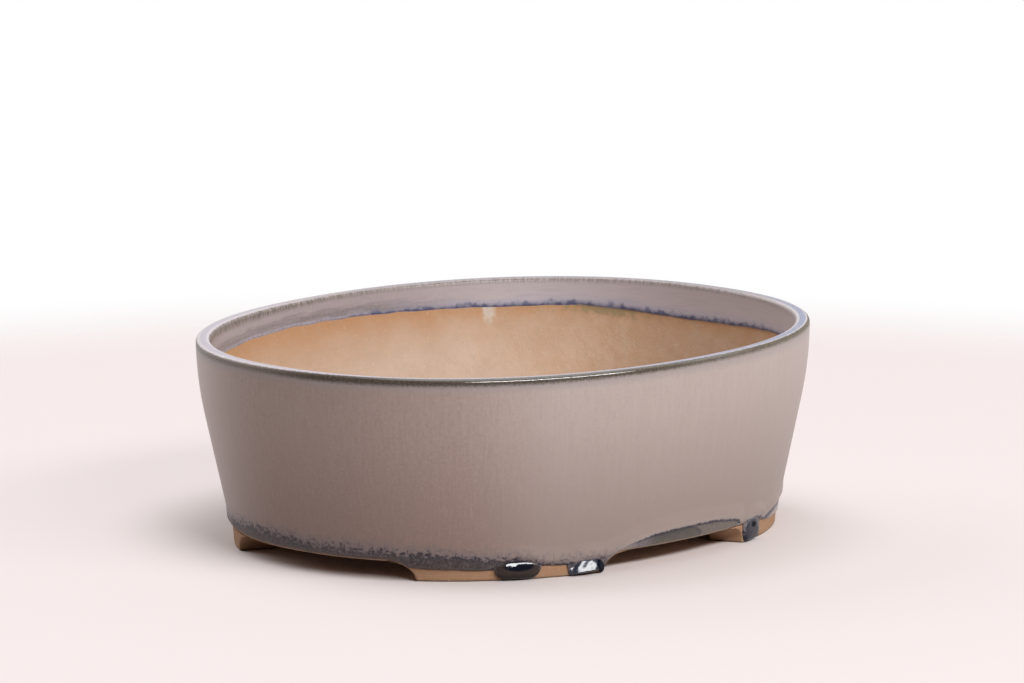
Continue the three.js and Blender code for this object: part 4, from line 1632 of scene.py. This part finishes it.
# %% Surface of a run
run_columns = 120
run_rows = 48
run_over = 0.06
run_wider = 1.08
back_step = 6


def run_patch(node, taller, swelling, crown, sag, squareness, wedge, roundness, ripple, slant):
    """Rows of a run from its lower edge (0) to its arch (1), which stands this much taller than the packed
    run. Above the crown the swelling falls off on a quarter round or, by the wedge's share, on a straight
    line, and below it the swelling sags. Two crossing waves ripple it, and the left end slants. It sinks
    into the coat along the arch and at both ends."""
    middle, half, _, top = drip_span(node)
    across = np.linspace(-1, 1, run_columns)
    up = (1 - np.cos(np.linspace(0, np.pi, run_rows)))[:, None] / 2
    angle = middle + run_wider * half * across
    arch = np.sqrt(1 - np.abs(across) ** squareness)
    lower = coat_edge(angle) - run_over * (1 - soft_step(np.abs(across), 0.85, 1))
    height = lower + up * (np.maximum(top + taller - lower, 0.2) * arch + 0.1)
    angle = angle + run_wider * half * slant * up * (1 - across) / 2
    beyond = np.clip((up - crown) / (1 - crown), 0, 1)
    shoulder = (1 - wedge) * np.sqrt(1 - beyond**2) + wedge * (1 - beyond)
    hanging = 1 - sag * np.clip((crown - up) / crown, 0, 1) ** 2
    side = (1 - np.abs(across) ** roundness) ** 0.8
    sinking = np.maximum(soft_step(up, 0.9, 1), soft_step(np.abs(across), 0.9, 1))
    waves = np.sin(6 * across + 7 * up + 1) + np.sin(11 * across - 6 * up)
    swell = (swelling * shoulder * hanging + ripple * waves * up) * side
    skin = (coat_thickness + swell) * quarter_round(height - lower, edge_roll) - run_over * sinking
    back = slice(-2, 0, -back_step)
    inset = np.concatenate([clay_inset(height) - skin, clay_inset(height[back]) + hidden_depth])
    height = np.concatenate([height, height[back]])
    angle = np.concatenate([angle, angle[back]])
    return oval(angle, inset, height), across + 0 * up, up + 0 * across


print(f"each run has {run_rows} rows of {run_columns} points in front")

# %% [markdown]
# ## Three runs
# The middle run is a long wet bead with brown round its black eye, the end one a wedge that leans to one
# side, and the corner one a drop with a small eye. One function with named settings makes all three, so
# that they can be compared line by line.

# %% Runs
run_shapes = {
    "run_middle": dict(
        taller=0.3, swelling=1.9, crown=0.42, sag=0.5, squareness=3.2, wedge=0.75, roundness=2.6,
        ripple=0.015, slant=0.0,
    ),
    "run_end": dict(
        taller=0.6, swelling=2.5, crown=0.2, sag=0.1, squareness=4.0, wedge=0.85, roundness=3.0,
        ripple=0.05, slant=0.3,
    ),
    "run_corner": dict(
        taller=1.8, swelling=1.1, crown=0.4, sag=0.4, squareness=3.0, wedge=0.5, roundness=4.0,
        ripple=0.02, slant=0.0,
    ),
}
run_looks = {
    "run_middle": dict(eye=(0.02, 0.78), eye_size=(0.62, 0.30), warmth=1.0, shine=0.5),
    "run_end": dict(eye=(0.85, 0.6), eye_size=(0.42, 0.8), warmth=0.05, shine=0.5),
    "run_corner": dict(eye=(-0.04, 0.70), eye_size=(0.30, 0.13), warmth=0.4, shine=0.2),
}


def make_run(name, eye, eye_size, warmth, shine):
    """One run as a tube along the foot with its two ends capped. Its marks say where the black eye is, how
    near the border is, how low a point lies, how brown the glaze is and how strongly it shines."""
    node = "glaze_" + name
    points, across, up = run_patch(node, **run_shapes[name])
    rows, count = points.shape[:2]
    numbers = np.arange(rows * count).reshape(rows, count)
    eye_away = np.hypot((across - eye[0]) / eye_size[0], (up - eye[1]) / eye_size[1])
    border = np.maximum(np.abs(across) ** 5, soft_step(up, 0.84, 1))
    hidden = np.zeros((rows - len(up), count))
    marks = {
        "eye": np.concatenate([1 - soft_step(eye_away, 0.8, 1.15), hidden]),
        "border": np.concatenate([border, hidden]),
        "lower": np.concatenate([1 - up, hidden]),
        "warmth": np.full((rows, count), warmth),
        "shine": np.full((rows, count), shine),
    }
    caps = np.stack([numbers[:, 0], numbers[::-1, -1]])
    faces = [ring_faces(rows, count, closed=False), caps]
    make_piece(name, points, faces, run_finish, [node], marks)


for run_name, run_look in run_looks.items():
    make_run(run_name, **run_look)
